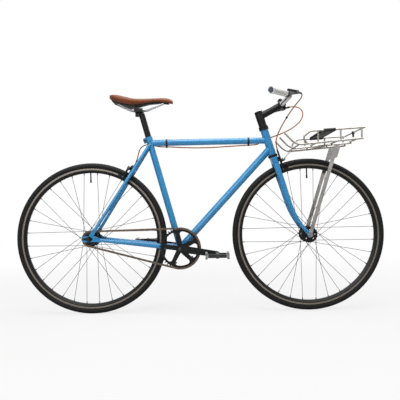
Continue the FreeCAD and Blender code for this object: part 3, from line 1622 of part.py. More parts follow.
def rack_upper_rail():
    """The left upper rail: a loop from the platform's side tube, with three uprights under it."""
    loop = rack_tube(rack_loop_points, rack_loop_radius)
    posts = []
    for x in rack_upright_places:
        ends = [V(x, rack_half_width, height) for height in (rack_height(x), upper_rail_height(x))]
        posts.append(rod(*ends, rack_post_radius))
    side = rack_tube(rack_side_points, rack_bend_radius)
    return weld([loop] + posts).cut(side)


def rack_front_tube():
    """The tube across the front that joins the upper rails' ends."""
    x, z = rack_loop_points[-1]
    place = V(x - rack_tube_radius, 0, z)
    bar = across(place.x, place.z, -rack_half_width, rack_half_width, rack_cross_radius)
    return bar.cut(both(rack_tube(rack_loop_points, rack_loop_radius)))


def strut():
    """The left strut: a flat bar from the axle to a wider head beside the platform's middle tube."""
    top = rack_foot + V(strut_top_offset[0], 0, strut_top_offset[1]) - front_axle_place
    up = (top.x / top.Length, top.z / top.Length)
    head_foot = (top.x - up[0] * strut_head_length, top.z - up[1] * strut_head_length)
    head_width = strut_head_half_width - strut_half_width
    solid = fuse([
        Part.makeCylinder(strut_eye_radius, strut_thickness),
        capsule((0, 0), (top.x, top.z), strut_half_width, 0, strut_thickness),
        capsule((head_foot[0] + head_width, head_foot[1]), (top.x + head_width, top.z), strut_half_width, 0,
                strut_thickness),
    ])
    hole = Part.makeCylinder(front_axle_radius, 4 * strut_thickness, V(0, 0, -strut_thickness))
    placed = set_in(solid.cut(hole), front_axle_place + Y * (strut_face + strut_thickness), V(1, 0, 0), Z)
    return placed


def rack_tang():
    """The flat stay from the front brake's bolt up to the platform's rear cross tube."""
    eye_centre = front_mount + head_forward * nut_face
    first = rack_cross_places[0]
    goal = V(first, 0, rack_height(first))
    mid = eye_centre + head_forward * (tang_thickness / 2)
    along = (goal - mid).normalize()
    length = (goal - mid).Length
    strip_corner = V(0, -tang_half_width, -tang_thickness / 2)
    strip = Part.makeBox(length, 2 * tang_half_width, tang_thickness, strip_corner)
    strip = set_in(strip, mid, along, Y)
    eye = rod(eye_centre, eye_centre + head_forward * tang_thickness, tang_eye_radius)
    bar = across(goal.x, goal.z, -rack_half_width, rack_half_width, rack_cross_radius)
    def on_bolt(start, end, radius):
        return rod(eye_centre + head_forward * start, eye_centre + head_forward * end, radius)

    nut_room = on_bolt(-nut_face, 0, mount_nut_radius + weld_gap)
    far_room = on_bolt(tang_thickness, tang_thickness + 2 * mount_nut_height, mount_nut_radius + weld_gap)
    bolt = on_bolt(-nut_face, nut_face, brake_bolt_radius)
    return fuse([strip, eye]).cut([bar, rack_centre_tube(), nut_room, far_room, bolt])


def rack_strap():
    """A strap round both upper rails."""
    middle = V(strap_first, 0, upper_rail_height(strap_first))
    far = V(strap_first + strap_width, 0, upper_rail_height(strap_first + strap_width))
    along = (far - middle).normalize()
    above = along.cross(Y)
    ends = (-rack_half_width, 0), (rack_half_width, 0)
    inside = rack_tube_radius + strap_clearance
    loop = capsule(*ends, inside + strap_thickness, 0, strap_width)
    loop = loop.cut(capsule(*ends, inside, -overrun, strap_width + overrun))
    return set_in(loop, middle, Y, above)


# Cables
front_barrel_top = front_mount + head_up * (barrel_height + caliper_barrel_rise + weld_gap) \
    + head_forward * (lower_layer + arm_thickness / 2) - Y * cable_lateral
rear_barrel_top = rear_mount + stay_up * (barrel_height + caliper_barrel_rise + weld_gap) \
    + stay_back * (lower_layer + arm_thickness / 2) + Y * cable_lateral
right_barrel_end = V(barrel_end.x, -barrel_end.y, barrel_end.z)
top_tube_cable_height = top_tube_height - top_tube_radius - band_thickness - cable_radius - 2 * weld_gap
loop_end = V(top_tube_front.x - front_band_offset, 0, top_tube_cable_height)
band_places = [loop_end.x, stay_cluster.x + rear_band_offset]
front_cable_points = [bar_centre + offset for offset in front_cable_offsets]
rear_loop_points = [bar_centre + offset for offset in rear_loop_offsets] + [loop_end + V(loop_straight, 0, 0)]
rear_run_points = [loop_end + V(x, 0, z) for x, z in run_front_offsets]
rear_run_points += [V(stay_cluster.x + x, 0, top_tube_cable_height + z) for x, z in run_back_offsets]
rear_run_points += [stay_cluster + offset for offset in run_stay_offsets]


def front_brake_cable():
    return cable("front cable", [right_barrel_end] + front_cable_points + [front_barrel_top])


def rear_cable_loop():
    return cable("rear cable loop", [barrel_end] + rear_loop_points + [loop_end])


def rear_cable_run():
    return cable("rear cable run", [loop_end - V(weld_gap, 0, 0)] + rear_run_points + [rear_barrel_top])


def pieces():
    """Every node's solids by name."""
    front_bridge, front_side, front_side_shoe, front_centre, front_centre_shoe = front_caliper()
    rear_bridge, rear_side, rear_side_shoe, rear_centre, rear_centre_shoe = rear_caliper()
    right_pedal = pedal()
    front, rear = front_axle_place, rear_axle_place
    rear_end = rear_nut_face + nut_stack
    front_end = front_nut_face + nut_stack
    return {
        "head_tube": [head_tube()],
        "top_tube": [top_tube()],
        "down_tube": [down_tube()],
        "seat_tube": [seat_tube()],
        "bottom_bracket_shell": [bracket_shell()],
        "chain_stays": both(chain_stay()),
        "seat_stays": both(seat_stay()) + [stay_bridge()],
        "track_ends": both(track_end()),
        "seat_binder_bolt": [seat_binder_bolt()],
        "headset_cups": headset_cups(),
        "bottom_bracket_cups": [bracket_cup(-1), bracket_cup(1)],
        "rear_axle": [axle(rear, rear_axle_radius, rear_hub_half_length, rear_hub_face, rear_end)]
        + both(axle_nut(rear, rear_nut_face, rear_axle_radius)),
        "chain": chain(),
        "cable_bands": [cable_band(place) for place in band_places],
        "rear_cable_loop": [rear_cable_loop()],
        "rear_cable_run": [rear_cable_run()],
        "rear_brake_bridge": [rear_bridge],
        "rear_brake_side_arm": [rear_side, rear_side_shoe],
        "rear_brake_centre_arm": [rear_centre, rear_centre_shoe],
        "seatpost": [seatpost()],
        "saddle_clamp": saddle_clamp(),
        "saddle_rails": both(saddle_rail()),
        "saddle_base": [saddle_base()],
        "saddle_cover": [saddle_cover()],
        "fork_steerer": [fork_steerer()],
        "fork_blades": both(fork_blade()) + both(fork_tip()),
        "headset_spacers": headset_spacers(),
        "stem": [stem()],
        "stem_faceplate": [stem_faceplate()],
        "stem_bolts": stem_bolts(),
        "handlebar": [handlebar()],
        "grips": both(grip()),
        "bar_end_plugs": both(bar_plug()),
        "lever_brackets": both(lever_bracket()),
        "left_brake_lever": [lever_blade()],
        "right_brake_lever": [mirrored(lever_blade())],
        "front_brake_cable": [front_brake_cable()],
        "front_brake_bridge": [front_bridge],
        "front_brake_side_arm": [front_side, front_side_shoe],
        "front_brake_centre_arm": [front_centre, front_centre_shoe],
        "front_axle": [axle(front, front_axle_radius, front_hub_half_length, front_hub_face, front_end)]
        + both(axle_nut(front, front_nut_face, front_axle_radius)),
        "rack_platform": [rack_platform()],
        "rack_upper_rails": both(rack_upper_rail()) + [rack_front_tube()],
        "rack_struts": both(strut()) + [rack_tang()],
        "rack_strap": [rack_strap()],
        "front_tyre": [tyre(front)],
        "front_rim": [rim(front, front_flange_lateral), valve(front)],
        "front_spokes": spokes(front, front_flange_lateral),
        "front_hub": front_hub(),
        "rear_tyre": [tyre(rear)],
        "rear_rim": [rim(rear, rear_flange_lateral), valve(rear)],
        "rear_spokes": spokes(rear, rear_flange_lateral),
        "rear_hub": rear_hub() + [turned(lockring_profile(), rear.x, rear.z)],
        "cog": [sprocket(cog_teeth, rear, cog_seat_radius)],
        "cranks": [right_crank(), left_crank(), crank_spindle()] + crankset_bolts(),
        "chainring": [chainring()],
        "pedal_axles": [pedal_axle(), left_pedal_shape(pedal_axle())],
        "right_pedal": right_pedal,
        "left_pedal": [left_pedal_shape(shape) for shape in right_pedal],
    }


def lockring_profile():
    """The lockring outside the cog: (radius, y) points."""
    outer = cog_outer_face - lockring_thickness + weld_gap
    return [(lockring_seat_radius, cog_outer_face), (lockring_radius, cog_outer_face),
            (lockring_radius, outer), (lockring_seat_radius, outer)]


os.makedirs("parts", exist_ok=True)
for name, solids in pieces().items():
    shape = solids[0] if len(solids) == 1 else Part.makeCompound(solids)
    if not shape.isValid():
        print("not valid:", name)
    shape.exportStep(f"parts/{name}.step")
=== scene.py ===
import math

import bmesh
import bpy
from mathutils import Matrix, Vector


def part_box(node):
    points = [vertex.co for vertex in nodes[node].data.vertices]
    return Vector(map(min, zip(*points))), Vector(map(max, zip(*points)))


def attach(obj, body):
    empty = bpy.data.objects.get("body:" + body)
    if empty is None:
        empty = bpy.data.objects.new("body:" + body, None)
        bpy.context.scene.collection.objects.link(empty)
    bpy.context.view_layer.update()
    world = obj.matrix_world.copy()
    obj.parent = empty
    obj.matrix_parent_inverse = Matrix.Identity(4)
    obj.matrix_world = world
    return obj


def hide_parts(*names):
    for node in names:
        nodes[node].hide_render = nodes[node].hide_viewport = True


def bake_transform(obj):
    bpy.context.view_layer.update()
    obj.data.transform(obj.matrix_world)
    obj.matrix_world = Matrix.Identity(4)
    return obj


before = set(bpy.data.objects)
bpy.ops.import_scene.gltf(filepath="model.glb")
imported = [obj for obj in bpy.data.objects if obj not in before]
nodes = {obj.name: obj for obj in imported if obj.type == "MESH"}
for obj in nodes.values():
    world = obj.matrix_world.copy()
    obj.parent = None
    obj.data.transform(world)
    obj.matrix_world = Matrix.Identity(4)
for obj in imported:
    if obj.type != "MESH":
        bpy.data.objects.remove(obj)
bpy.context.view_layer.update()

MM = 0.001
FULL_FRAME = 36

# Edges past these angles stay sharp: on small fittings, and on the softer strap, buckle and tab
CREASE = math.radians(35)
SOFT_CREASE = math.radians(40)


def middle(name):
    """The middle of a CAD node's box, in metres."""
    low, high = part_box(name)
    return (low + high) / 2


def placed(name, data):
    """A new object with its data, linked to the scene."""
    made = bpy.data.objects.new(name, data)
    bpy.context.scene.collection.objects.link(made)
    return made


FRONT_HUB = middle("front_tyre")
REAR_HUB = middle("rear_tyre")


# Camera: on the drive side at half the bike's height, turned and rolled a little
def look(place, target, roll, lens):
    """Adds the camera, with its places in metres, roll in degrees and lens in mm."""
    data = bpy.data.cameras.new("camera")
    data.lens = lens
    data.sensor_width = FULL_FRAME
    camera = placed("camera", data)
    turn = (Vector(target) - Vector(place)).to_track_quat("-Z", "Y").to_matrix().to_4x4()
    camera.matrix_world = Matrix.Translation(place) @ turn @ Matrix.Rotation(math.radians(roll), 4, "Z")
    bpy.context.scene.camera = camera


look(place=(0.0422, -2.5, 0.4901), target=(0.0049, 0.0, 0.5017), roll=-1.205, lens=49.96)


# Modelling helpers
def alone(made):
    """Selects one object and nothing else."""
    bpy.ops.object.select_all(action="DESELECT")
    made.select_set(True)
    bpy.context.view_layer.objects.active = made


def applied(made, kind, **settings):
    """Adds a modifier with its settings and applies it."""
    alone(made)
    modifier = made.modifiers.new(kind.lower(), kind)
    for name, value in settings.items():
        setattr(modifier, name, value)
    bpy.ops.object.modifier_apply(modifier=modifier.name)


def pick(made, wanted):
    """Selects the faces whose normal passes a test, in edit mode."""
    bpy.ops.mesh.select_mode(type="FACE")
    bpy.ops.mesh.select_all(action="DESELECT")
    mesh = bmesh.from_edit_mesh(made.data)
    for face in mesh.faces:
        face.select_set(wanted(face.normal))
    bmesh.update_edit_mesh(made.data)


def drawn_up(steps):
    """Extrudes the selected faces up the Z axis, in steps of a rise and the new faces' X and Y scale."""
    for rise, along, across in steps:
        bpy.ops.mesh.extrude_region_move(TRANSFORM_OT_translate={"value": (0, 0, rise)})
        bpy.ops.transform.resize(value=(along, across, 1), center_override=(0, 0, 0))


def pointing(place, axis):
    """The matrix that takes a piece modelled upright at the origin, in mm, to a place in mm and an axis."""
    turn = Vector(axis).to_track_quat("Z", "Y").to_matrix().to_4x4()
    return Matrix.Translation(Vector(place) * MM) @ turn @ Matrix.Scale(MM, 4)


def dress(made, body, material):
    """The piece's body and material."""
    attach(made, body)
    made.data.materials.clear()
    made.data.materials.append(material)
    return made


def copied(pattern, name, matrix):
    """A copy of a modelled piece with its own mesh, put in place."""
    made = placed(name, pattern.data.copy())
    made.data.transform(matrix)
    return made


# Materials
def linear(code):
    """Linear colour of an sRGB hex value."""
    shares = [int(code[k:k + 2], 16) / 255 for k in (0, 2, 4)]
    return [s / 12.92 if s <= 0.04045 else ((s + 0.055) / 1.055) ** 2.4 for s in shares] + [1.0]


def per_mm(size):
    """The texture scale whose cells are this many mm wide on Object coordinates, which are metres."""
    return 1000 / size


def add(tree, kind, settings=None, links=None):
    """Adds a node: settings go to its sockets, ramp or attributes, and links are input: (node, output)."""
    made = tree.nodes.new(kind)
    for name, value in (settings or {}).items():
        if name == "stops":
            made.color_ramp.elements.remove(made.color_ramp.elements[1])
            made.color_ramp.elements[0].position = value[0][0]
            made.color_ramp.elements[0].color = linear(value[0][1])
            for place, code in value[1:]:
                made.color_ramp.elements.new(place).color = linear(code)
        elif isinstance(name, int) or name in made.inputs:
            made.inputs[name].default_value = value
        else:
            setattr(made, name, value)
    for name, (source, output) in (links or {}).items():
        tree.links.new(source.outputs[output], made.inputs[name])
    return made


def started(name):
    """A new material with its empty node tree, and the link to its Object coordinates."""
    material = bpy.data.materials.new(name)
    material.use_nodes = True
    tree = material.node_tree
    tree.nodes.clear()
    return material, tree, (add(tree, "ShaderNodeTexCoord"), "Object")


def shaded(material, settings, links):
    """The material with its Principled shader, set and linked as given."""
    shader = add(material.node_tree, "ShaderNodeBsdfPrincipled", settings, links)
    add(material.node_tree, "ShaderNodeOutputMaterial", {}, {"Surface": (shader, "BSDF")})
    return material


def frame_enamel():
    """Sprayed enamel on steel: an even mid blue under clear lacquer, its orange peel drawn coarse to show."""
    material, tree, place = started("blue_enamel")
    drift = add(tree, "ShaderNodeTexNoise", {"Scale": per_mm(90), "Detail": 3.0}, {"Vector": place})
    tint = add(tree, "ShaderNodeValToRGB", {"stops": [(0.3, "1C7EB5"), (0.7, "268AC0")]},
               {"Fac": (drift, "Fac")})
    peel = add(tree, "ShaderNodeTexNoise", {"Scale": per_mm(12)}, {"Vector": place})
    bump = add(tree, "ShaderNodeBump", {"Strength": 0.025, "Distance": 0.0004}, {"Height": (peel, "Fac")})
    return shaded(material, {"Roughness": 0.34, "IOR": 1.5, "Coat Weight": 0.45, "Coat Roughness": 0.08},
                  {"Base Color": (tint, "Color"), "Normal": (bump, "Normal")})


def black_anodised():
    """Bead-blasted anodised aluminium: near black and satin, paler where rubbed, its grain drawn coarse."""
    material, tree, place = started("black_anodised")
    wear = add(tree, "ShaderNodeTexNoise", {"Scale": per_mm(18), "Detail": 4.0}, {"Vector": place})
    tint = add(tree, "ShaderNodeValToRGB", {"stops": [(0.35, "0C0D0E"), (0.62, "141517"), (0.8, "202124")]},
               {"Fac": (wear, "Fac")})
    rub = add(tree, "ShaderNodeMapRange", {"To Min": 0.30, "To Max": 0.50}, {"Value": (wear, "Fac")})
    grain = add(tree, "ShaderNodeTexNoise", {"Scale": per_mm(4)}, {"Vector": place})
    bump = add(tree, "ShaderNodeBump", {"Strength": 0.06, "Distance": 0.0002}, {"Height": (grain, "Fac")})
    return shaded(material, {"Metallic": 0.2, "Specular IOR Level": 0.3},
                  {"Base Color": (tint, "Color"), "Roughness": (rub, "Result"), "Normal": (bump, "Normal")})


def pedal_finish(name, centre):
    """Black body with cage ends of bare pressed steel, from a reach before and behind the spindle."""
    reach = 38 * MM
    edge = 0.5 * MM
    material, tree, place = started(name)
    about = add(tree, "ShaderNodeVectorMath", {"operation": "SUBTRACT", 1: centre}, {0: place})
    parts = add(tree, "ShaderNodeSeparateXYZ", {}, {"Vector": (about, "Vector")})
    ahead = add(tree, "ShaderNodeMath", {"operation": "ABSOLUTE"}, {0: (parts, "X")})
    cage = add(tree, "ShaderNodeMapRange", {"From Min": reach - edge, "From Max": reach + edge},
               {"Value": (ahead, "Value")})
    wear = add(tree, "ShaderNodeTexNoise", {"Scale": per_mm(9), "Detail": 4.0}, {"Vector": place})
    black = add(tree, "ShaderNodeValToRGB", {"stops": [(0.3, "121315"), (0.8, "242527")]},
                {"Fac": (wear, "Fac")})
    steel = add(tree, "ShaderNodeValToRGB", {"stops": [(0.3, "858687"), (0.7, "ABACAD")]},
                {"Fac": (wear, "Fac")})
    tint = add(tree, "ShaderNodeMixRGB", {},
               {"Fac": (cage, "Result"), "Color1": (black, "Color"), "Color2": (steel, "Color")})
    dull = add(tree, "ShaderNodeMapRange", {"To Min": 0.28, "To Max": 0.46}, {"Value": (wear, "Fac")})
    return shaded(material, {}, {"Base Color": (tint, "Color"), "Metallic": (cage, "Result"),
                                 "Roughness": (dull, "Result")})


def about_hub(tree, place, hub):
    """Coordinates about a wheel's hub, and the distance from its axle, in metres."""
    about = add(tree, "ShaderNodeVectorMath", {"operation": "SUBTRACT", 1: hub}, {0: place})
    flat = add(tree, "ShaderNodeVectorMath", {"operation": "MULTIPLY", 1: (1, 0, 1)}, {0: (about, "Vector")})
    return about, add(tree, "ShaderNodeVectorMath", {"operation": "LENGTH"}, {0: (flat, "Vector")})


def rim_finish(name, hub):
    """Black anodised rim whose brake tracks the pads have worn to a bronze grey, with the turning's rings."""
    inner = 300 * MM
    outer = 320 * MM
    material, tree, place = started(name)
    _, distance = about_hub(tree, place, hub)
    share = add(tree, "ShaderNodeMapRange", {"From Min": inner, "From Max": outer},
                {"Value": (distance, "Value")})
    tint = add(tree, "ShaderNodeValToRGB",
               {"stops": [(0.34, "0C0D0E"), (0.38, "7E7870"), (0.70, "8A837A"), (0.74, "0E0E0F")]},
               {"Fac": (share, "Result")})
    metal = add(tree, "ShaderNodeValToRGB",
                {"stops": [(0.34, "303030"), (0.38, "FFFFFF"), (0.70, "FFFFFF"), (0.74, "303030")]},
                {"Fac": (share, "Result")})
    rings = add(tree, "ShaderNodeTexNoise", {"noise_dimensions": "1D", "Scale": per_mm(1.5), "Detail": 2.0},
                {"W": (distance, "Value")})
    bump = add(tree, "ShaderNodeBump", {"Strength": 0.10, "Distance": 0.0002}, {"Height": (rings, "Fac")})
    dull = add(tree, "ShaderNodeMapRange", {"To Min": 0.30, "To Max": 0.46}, {"Value": (rings, "Fac")})
    return shaded(material, {"Specular IOR Level": 0.25},
                  {"Base Color": (tint, "Color"), "Metallic": (metal, "Color"),
                   "Roughness": (dull, "Result"), "Normal": (bump, "Normal")})


def tyre_rubber(name, hub):
    """Moulded tyre rubber: matt black, with slanted sipes on the tread and casing threads in the walls."""
    sipes_round = 178.0
    slant_per_metre = 300.0
    tread_starts = 331.5 * MM
    tread_full = 333.5 * MM
    material, tree, place = started(name)
    about, distance = about_hub(tree, place, hub)
    parts = add(tree, "ShaderNodeSeparateXYZ", {}, {"Vector": (about, "Vector")})
    angle = add(tree, "ShaderNodeMath", {"operation": "ARCTAN2"}, {0: (parts, "Z"), 1: (parts, "X")})
    lateral = add(tree, "ShaderNodeMath", {"operation": "ABSOLUTE"}, {0: (parts, "Y")})
    slant = add(tree, "ShaderNodeMath", {"operation": "MULTIPLY", 1: slant_per_metre},
                {0: (lateral, "Value")})
    run = add(tree, "ShaderNodeMath", {"operation": "MULTIPLY_ADD", 1: sipes_round},
              {0: (angle, "Value"), 2: (slant, "Value")})
    sipe = add(tree, "ShaderNodeMath", {"operation": "SINE"}, {0: (run, "Value")})
    tread = add(tree, "ShaderNodeMapRange", {"From Min": tread_starts, "From Max": tread_full},
                {"Value": (distance, "Value")})
    cut = add(tree, "ShaderNodeMath", {"operation": "MULTIPLY"}, {0: (sipe, "Value"), 1: (tread, "Result")})
    threads = add(tree, "ShaderNodeTexNoise", {"Scale": per_mm(4), "Detail": 3.0}, {"Vector": place})
    relief = add(tree, "ShaderNodeMath", {"operation": "MULTIPLY_ADD", 1: 0.5},
                 {0: (cut, "Value"), 2: (threads, "Fac")})
    bump = add(tree, "ShaderNodeBump", {"Strength": 0.25, "Distance": 0.0005}, {"Height": (relief, "Value")})
    dust = add(tree, "ShaderNodeTexNoise", {"Scale": per_mm(40), "Detail": 5.0}, {"Vector": place})
    tint = add(tree, "ShaderNodeValToRGB", {"stops": [(0.3, "0B0C0C"), (0.7, "161617")]},
               {"Fac": (dust, "Fac")})
    rough = add(tree, "ShaderNodeMapRange", {"To Min": 0.48, "To Max": 0.72}, {"Value": (dust, "Fac")})
    return shaded(material, {"IOR": 1.52, "Specular IOR Level": 0.2},
                  {"Base Color": (tint, "Color"), "Roughness": (rough, "Result"), "Normal": (bump, "Normal")})


# How far patches of a metal or plastic are smoother and duller than its roughness
SMOOTHER = 0.06
DULLER = 0.10


def bare_metal(name, dark, pale, roughness, patch_size):
    """Drawn, polished or machined metal with duller patches of a size in mm and coarse-drawn scratches."""
    material, tree, place = started(name)
    patch = add(tree, "ShaderNodeTexNoise", {"Scale": per_mm(patch_size), "Detail": 4.0}, {"Vector": place})
    tint = add(tree, "ShaderNodeValToRGB", {"stops": [(0.3, dark), (0.7, pale)]}, {"Fac": (patch, "Fac")})
    dull = add(tree, "ShaderNodeMapRange", {"To Min": roughness - SMOOTHER, "To Max": roughness + DULLER},
               {"Value": (patch, "Fac")})
    scratch = add(tree, "ShaderNodeTexNoise", {"Scale": per_mm(patch_size / 4), "Detail": 2.0},
                  {"Vector": place})
    bump = add(tree, "ShaderNodeBump", {"Strength": 0.05, "Distance": 0.0002}, {"Height": (scratch, "Fac")})
    return shaded(material, {"Metallic": 1.0}, {"Base Color": (tint, "Color"), "Roughness": (dull, "Result"),
                                                "Normal": (bump, "Normal")})


def moulded(name, dark, pale, roughness, grain, shine=0.3):
    """Moulded plastic or rubber: even colour, a soft shine and the mould's grain of a size in mm."""
    material, tree, place = started(name)
    drift = add(tree, "ShaderNodeTexNoise", {"Scale": per_mm(25), "Detail": 4.0}, {"Vector": place})
    tint = add(tree, "ShaderNodeValToRGB", {"stops": [(0.3, dark), (0.7, pale)]}, {"Fac": (drift, "Fac")})
    dull = add(tree, "ShaderNodeMapRange", {"To Min": roughness - SMOOTHER, "To Max": roughness + DULLER},
               {"Value": (drift, "Fac")})
    skin = add(tree, "ShaderNodeTexVoronoi", {"Scale": per_mm(grain)}, {"Vector": place})
    bump = add(tree, "ShaderNodeBump", {"Strength": 0.03, "Distance": 0.0002}, {"Height": (skin, "Distance")})
    return shaded(material, {"IOR": 1.5, "Specular IOR Level": shine},
                  {"Base Color": (tint, "Color"), "Roughness": (dull, "Result"), "Normal": (bump, "Normal")})


def saddle_leather():
    """Vegetable-tanned leather: red-brown with darker patches, and pores drawn 3 mm wide to show, their
    colour darkened as painted shade.
    """
    material, tree, place = started("brown_leather")
    patch = add(tree, "ShaderNodeTexNoise", {"Scale": per_mm(45), "Detail": 5.0}, {"Vector": place})
    tint = add(tree, "ShaderNodeValToRGB", {"stops": [(0.25, "66300F"), (0.55, "7A3D1A"), (0.8, "884A28")]},
               {"Fac": (patch, "Fac")})
    pores = add(tree, "ShaderNodeTexVoronoi", {"Scale": per_mm(3), "feature": "DISTANCE_TO_EDGE"},
                {"Vector": place})
    depth = add(tree, "ShaderNodeMapRange", {"From Max": 0.12, "To Min": 0.82, "To Max": 1.0},
                {"Value": (pores, "Distance")})
    # Painted shade: the pores' depth also darkens the colour, so the hollows that the bump draws are shaded
    # in paint
    shade = add(tree, "ShaderNodeVectorMath", {"operation": "SCALE"},
                {0: (tint, "Color"), "Scale": (depth, "Result")})
    shine = add(tree, "ShaderNodeMapRange", {"To Min": 0.38, "To Max": 0.54}, {"Value": (patch, "Fac")})
    bump = add(tree, "ShaderNodeBump", {"Strength": 0.20, "Distance": 0.0003}, {"Height": (depth, "Result")})
    return shaded(material, {"IOR": 1.5, "Specular IOR Level": 0.35},
                  {"Base Color": (shade, "Vector"), "Roughness": (shine, "Result"),
                   "Normal": (bump, "Normal")})


def strap_webbing():
    """Woven nylon webbing: black, with ribs drawn 4 mm apart across the strap, painted paler on their crests
    and darker in the grooves as painted highlight and shade, and a dull sheen.
    """
    material, tree, place = started("black_webbing")
    weave = add(tree, "ShaderNodeTexWave",
                {"bands_direction": "Y", "Scale": per_mm(4.0) / math.tau, "Distortion": 0.6},
                {"Vector": place})
    # Painted highlight and shade: the colour follows the ribs' height, paler on the crests and darker in the
    # grooves
    tint = add(tree, "ShaderNodeValToRGB", {"stops": [(0.1, "0A0A0B"), (0.9, "17181A")]},
               {"Fac": (weave, "Fac")})
    bump = add(tree, "ShaderNodeBump", {"Strength": 0.4, "Distance": 0.0004}, {"Height": (weave, "Fac")})
    return shaded(material, {"Roughness": 0.72, "Sheen Weight": 0.1},
                  {"Base Color": (tint, "Color"), "Normal": (bump, "Normal")})


enamel = frame_enamel()
anodised = black_anodised()
front_rim_metal = rim_finish("front_rim_metal", FRONT_HUB)
rear_rim_metal = rim_finish("rear_rim_metal", REAR_HUB)
front_rubber = tyre_rubber("front_tyre_rubber", FRONT_HUB)
rear_rubber = tyre_rubber("rear_tyre_rubber", REAR_HUB)
right_cage = pedal_finish("right_pedal_metal", middle("right_pedal"))
left_cage = pedal_finish("left_pedal_metal", middle("left_pedal"))
spoke_steel = bare_metal("spoke_stainless", "36373A", "4C4E50", 0.32, 12)
dark_steel = bare_metal("blackened_steel", "2A2B2D", "3D3E40", 0.36, 8)
screw_steel = bare_metal("socket_screw_steel", "434446", "5A5B5E", 0.30, 6)
axle_steel = bare_metal("machined_steel", "8C8D8E", "ADAEAF", 0.30, 8)
chain_steel = bare_metal("oiled_chain_steel", "5A5046", "7A6D5E", 0.42, 10)
rack_stainless = bare_metal("rack_stainless", "96938C", "B2AFA8", 0.30, 40)
strut_steel = bare_metal("strut_stainless", "ACAAA6", "D0CECA", 0.20, 25)
polished_bar = bare_metal("polished_aluminium", "CFD0D2", "E2E3E4", 0.16, 30)
rail_steel = bare_metal("saddle_rail_steel", "C4C5C7", "DADBDC", 0.36, 30)
lever_metal = bare_metal("cast_grey_aluminium", "55575A", "6D6F73", 0.42, 9)
white_rubber = moulded("white_grip_rubber", "E2E2DF", "EBEBE9", 0.50, 30)
slate_plastic = moulded("slate_plug_plastic", "3F4753", "4A5361", 0.48, 5)
black_plastic = moulded("black_nylon", "131314", "1D1D1F", 0.50, 5)
cable_casing = moulded("brown_cable_casing", "925204", "A36009", 0.50, 12, shine=0.08)
leather = saddle_leather()
webbing = strap_webbing()

finishes = {
    enamel: "head_tube top_tube down_tube seat_tube bottom_bracket_shell chain_stays seat_stays track_ends "
            "fork_steerer fork_blades",
    anodised: "seat_binder_bolt headset_cups bottom_bracket_cups rear_brake_bridge rear_brake_side_arm "
              "rear_brake_centre_arm seatpost saddle_clamp headset_spacers stem stem_faceplate stem_bolts "
              "left_brake_lever right_brake_lever front_brake_bridge front_brake_side_arm "
              "front_brake_centre_arm front_hub rear_hub cranks chainring",
    front_rim_metal: "front_rim",
    rear_rim_metal: "rear_rim",
    front_rubber: "front_tyre",
    rear_rubber: "rear_tyre",
    right_cage: "right_pedal",
    left_cage: "left_pedal",
    spoke_steel: "front_spokes rear_spokes",
    dark_steel: "rear_axle cog",
    axle_steel: "front_axle pedal_axles",
    chain_steel: "chain",
    rack_stainless: "rack_platform rack_upper_rails",
    strut_steel: "rack_struts",
    polished_bar: "handlebar",
    rail_steel: "saddle_rails",
    lever_metal: "lever_brackets",
    white_rubber: "grips",
    slate_plastic: "bar_end_plugs",
    black_plastic: "cable_bands saddle_base",
}
for material, names in finishes.items():
    for name in names.split():
        nodes[name].data.materials.clear()
        nodes[name].data.materials.append(material)


# Brake cables: casing 5 mm thick, each on its own route in mm between a lever and a caliper
CASING = 5
front_route = [(434.72, -179.28, 939.38), (460.03, -137, 940.24), (418.03, -88, 893.04),
               (382.03, -58, 838.04), (354.03, -42, 785.04), (344.53, -36, 742.04), (355.59, -36, 705.69)]
loop_route = [(434.72, 179.28, 939.38), (466.03, 132, 939.24), (499.03, 118, 909.04), (487.03, 105, 865.04),
              (440.03, 82, 826.04), (385.03, 52, 798.04), (336.03, 30, 781.04), (292.03, 24, 762.04),
              (268.03, 11, 746.04), (242.04, 0, 744.2), (228.04, 0, 744.2)]
run_route = [(227.74, 0, 744.2), (140.04, 0, 740), (35.04, 0, 735.5), (-70.04, 0, 739), (-124.04, 0, 744.2),
             (-158.04, 0, 744.2), (-186.04, 15, 749), (-226.04, 34, 763), (-264.04, 38, 750),
             (-276.04, 36, 706.8), (-283.58, 36, 677.73)]


def route_curve(name, points, thick):
    """A round curve that keeps its ends on the first and last point."""
    data = bpy.data.curves.new(name, "CURVE")
    data.dimensions = "3D"
    spline = data.splines.new("NURBS")
    spline.points.add(len(points) - 1)
    for point, (x, y, z) in zip(spline.points, points):
        point.co = (x * MM, y * MM, z * MM, 1)
    spline.order_u = 3
    spline.use_endpoint_u = True
    spline.resolution_u = 10
    data.bevel_depth = thick / 2 * MM
    data.bevel_resolution = 4
    data.use_fill_caps = True
    return placed(name, data)


def route_line(curve):
    """Points along a curve's own line."""
    depth = curve.data.bevel_depth
    curve.data.bevel_depth = 0
    bpy.context.view_layer.update()
    line = bpy.data.meshes.new_from_object(curve.evaluated_get(bpy.context.evaluated_depsgraph_get()))
    points = [v.co.copy() for v in line.vertices]
    bpy.data.meshes.remove(line)
    curve.data.bevel_depth = depth
    return points


def cable(name, points, node):
    """A casing along a route, as a mesh that stands for a CAD node, with the points that it follows."""
    made = route_curve(name, points, CASING)
    line = route_line(made)
    alone(made)
    bpy.ops.object.convert(target="MESH")
    made.data.materials.append(cable_casing)
    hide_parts(node)
    return made, line


front_cable, front_line = cable("front_cable_casing", front_route, "front_brake_cable")
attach(front_cable, "fork")
run_cable, run_line = cable("rear_cable_run_casing", run_route, "rear_cable_run")
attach(run_cable, "frame")
loop_cable, loop_line = cable("rear_cable_loop_casing", loop_route, "rear_cable_loop")
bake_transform(loop_cable)


# Saddle: the leather is drawn over its padding, so the cut edges are rounded and the top swells a little
COVER_MERGE = 0.05 * MM
COVER_VOXEL = 2.2 * MM
COVER_ROUNDS = 6


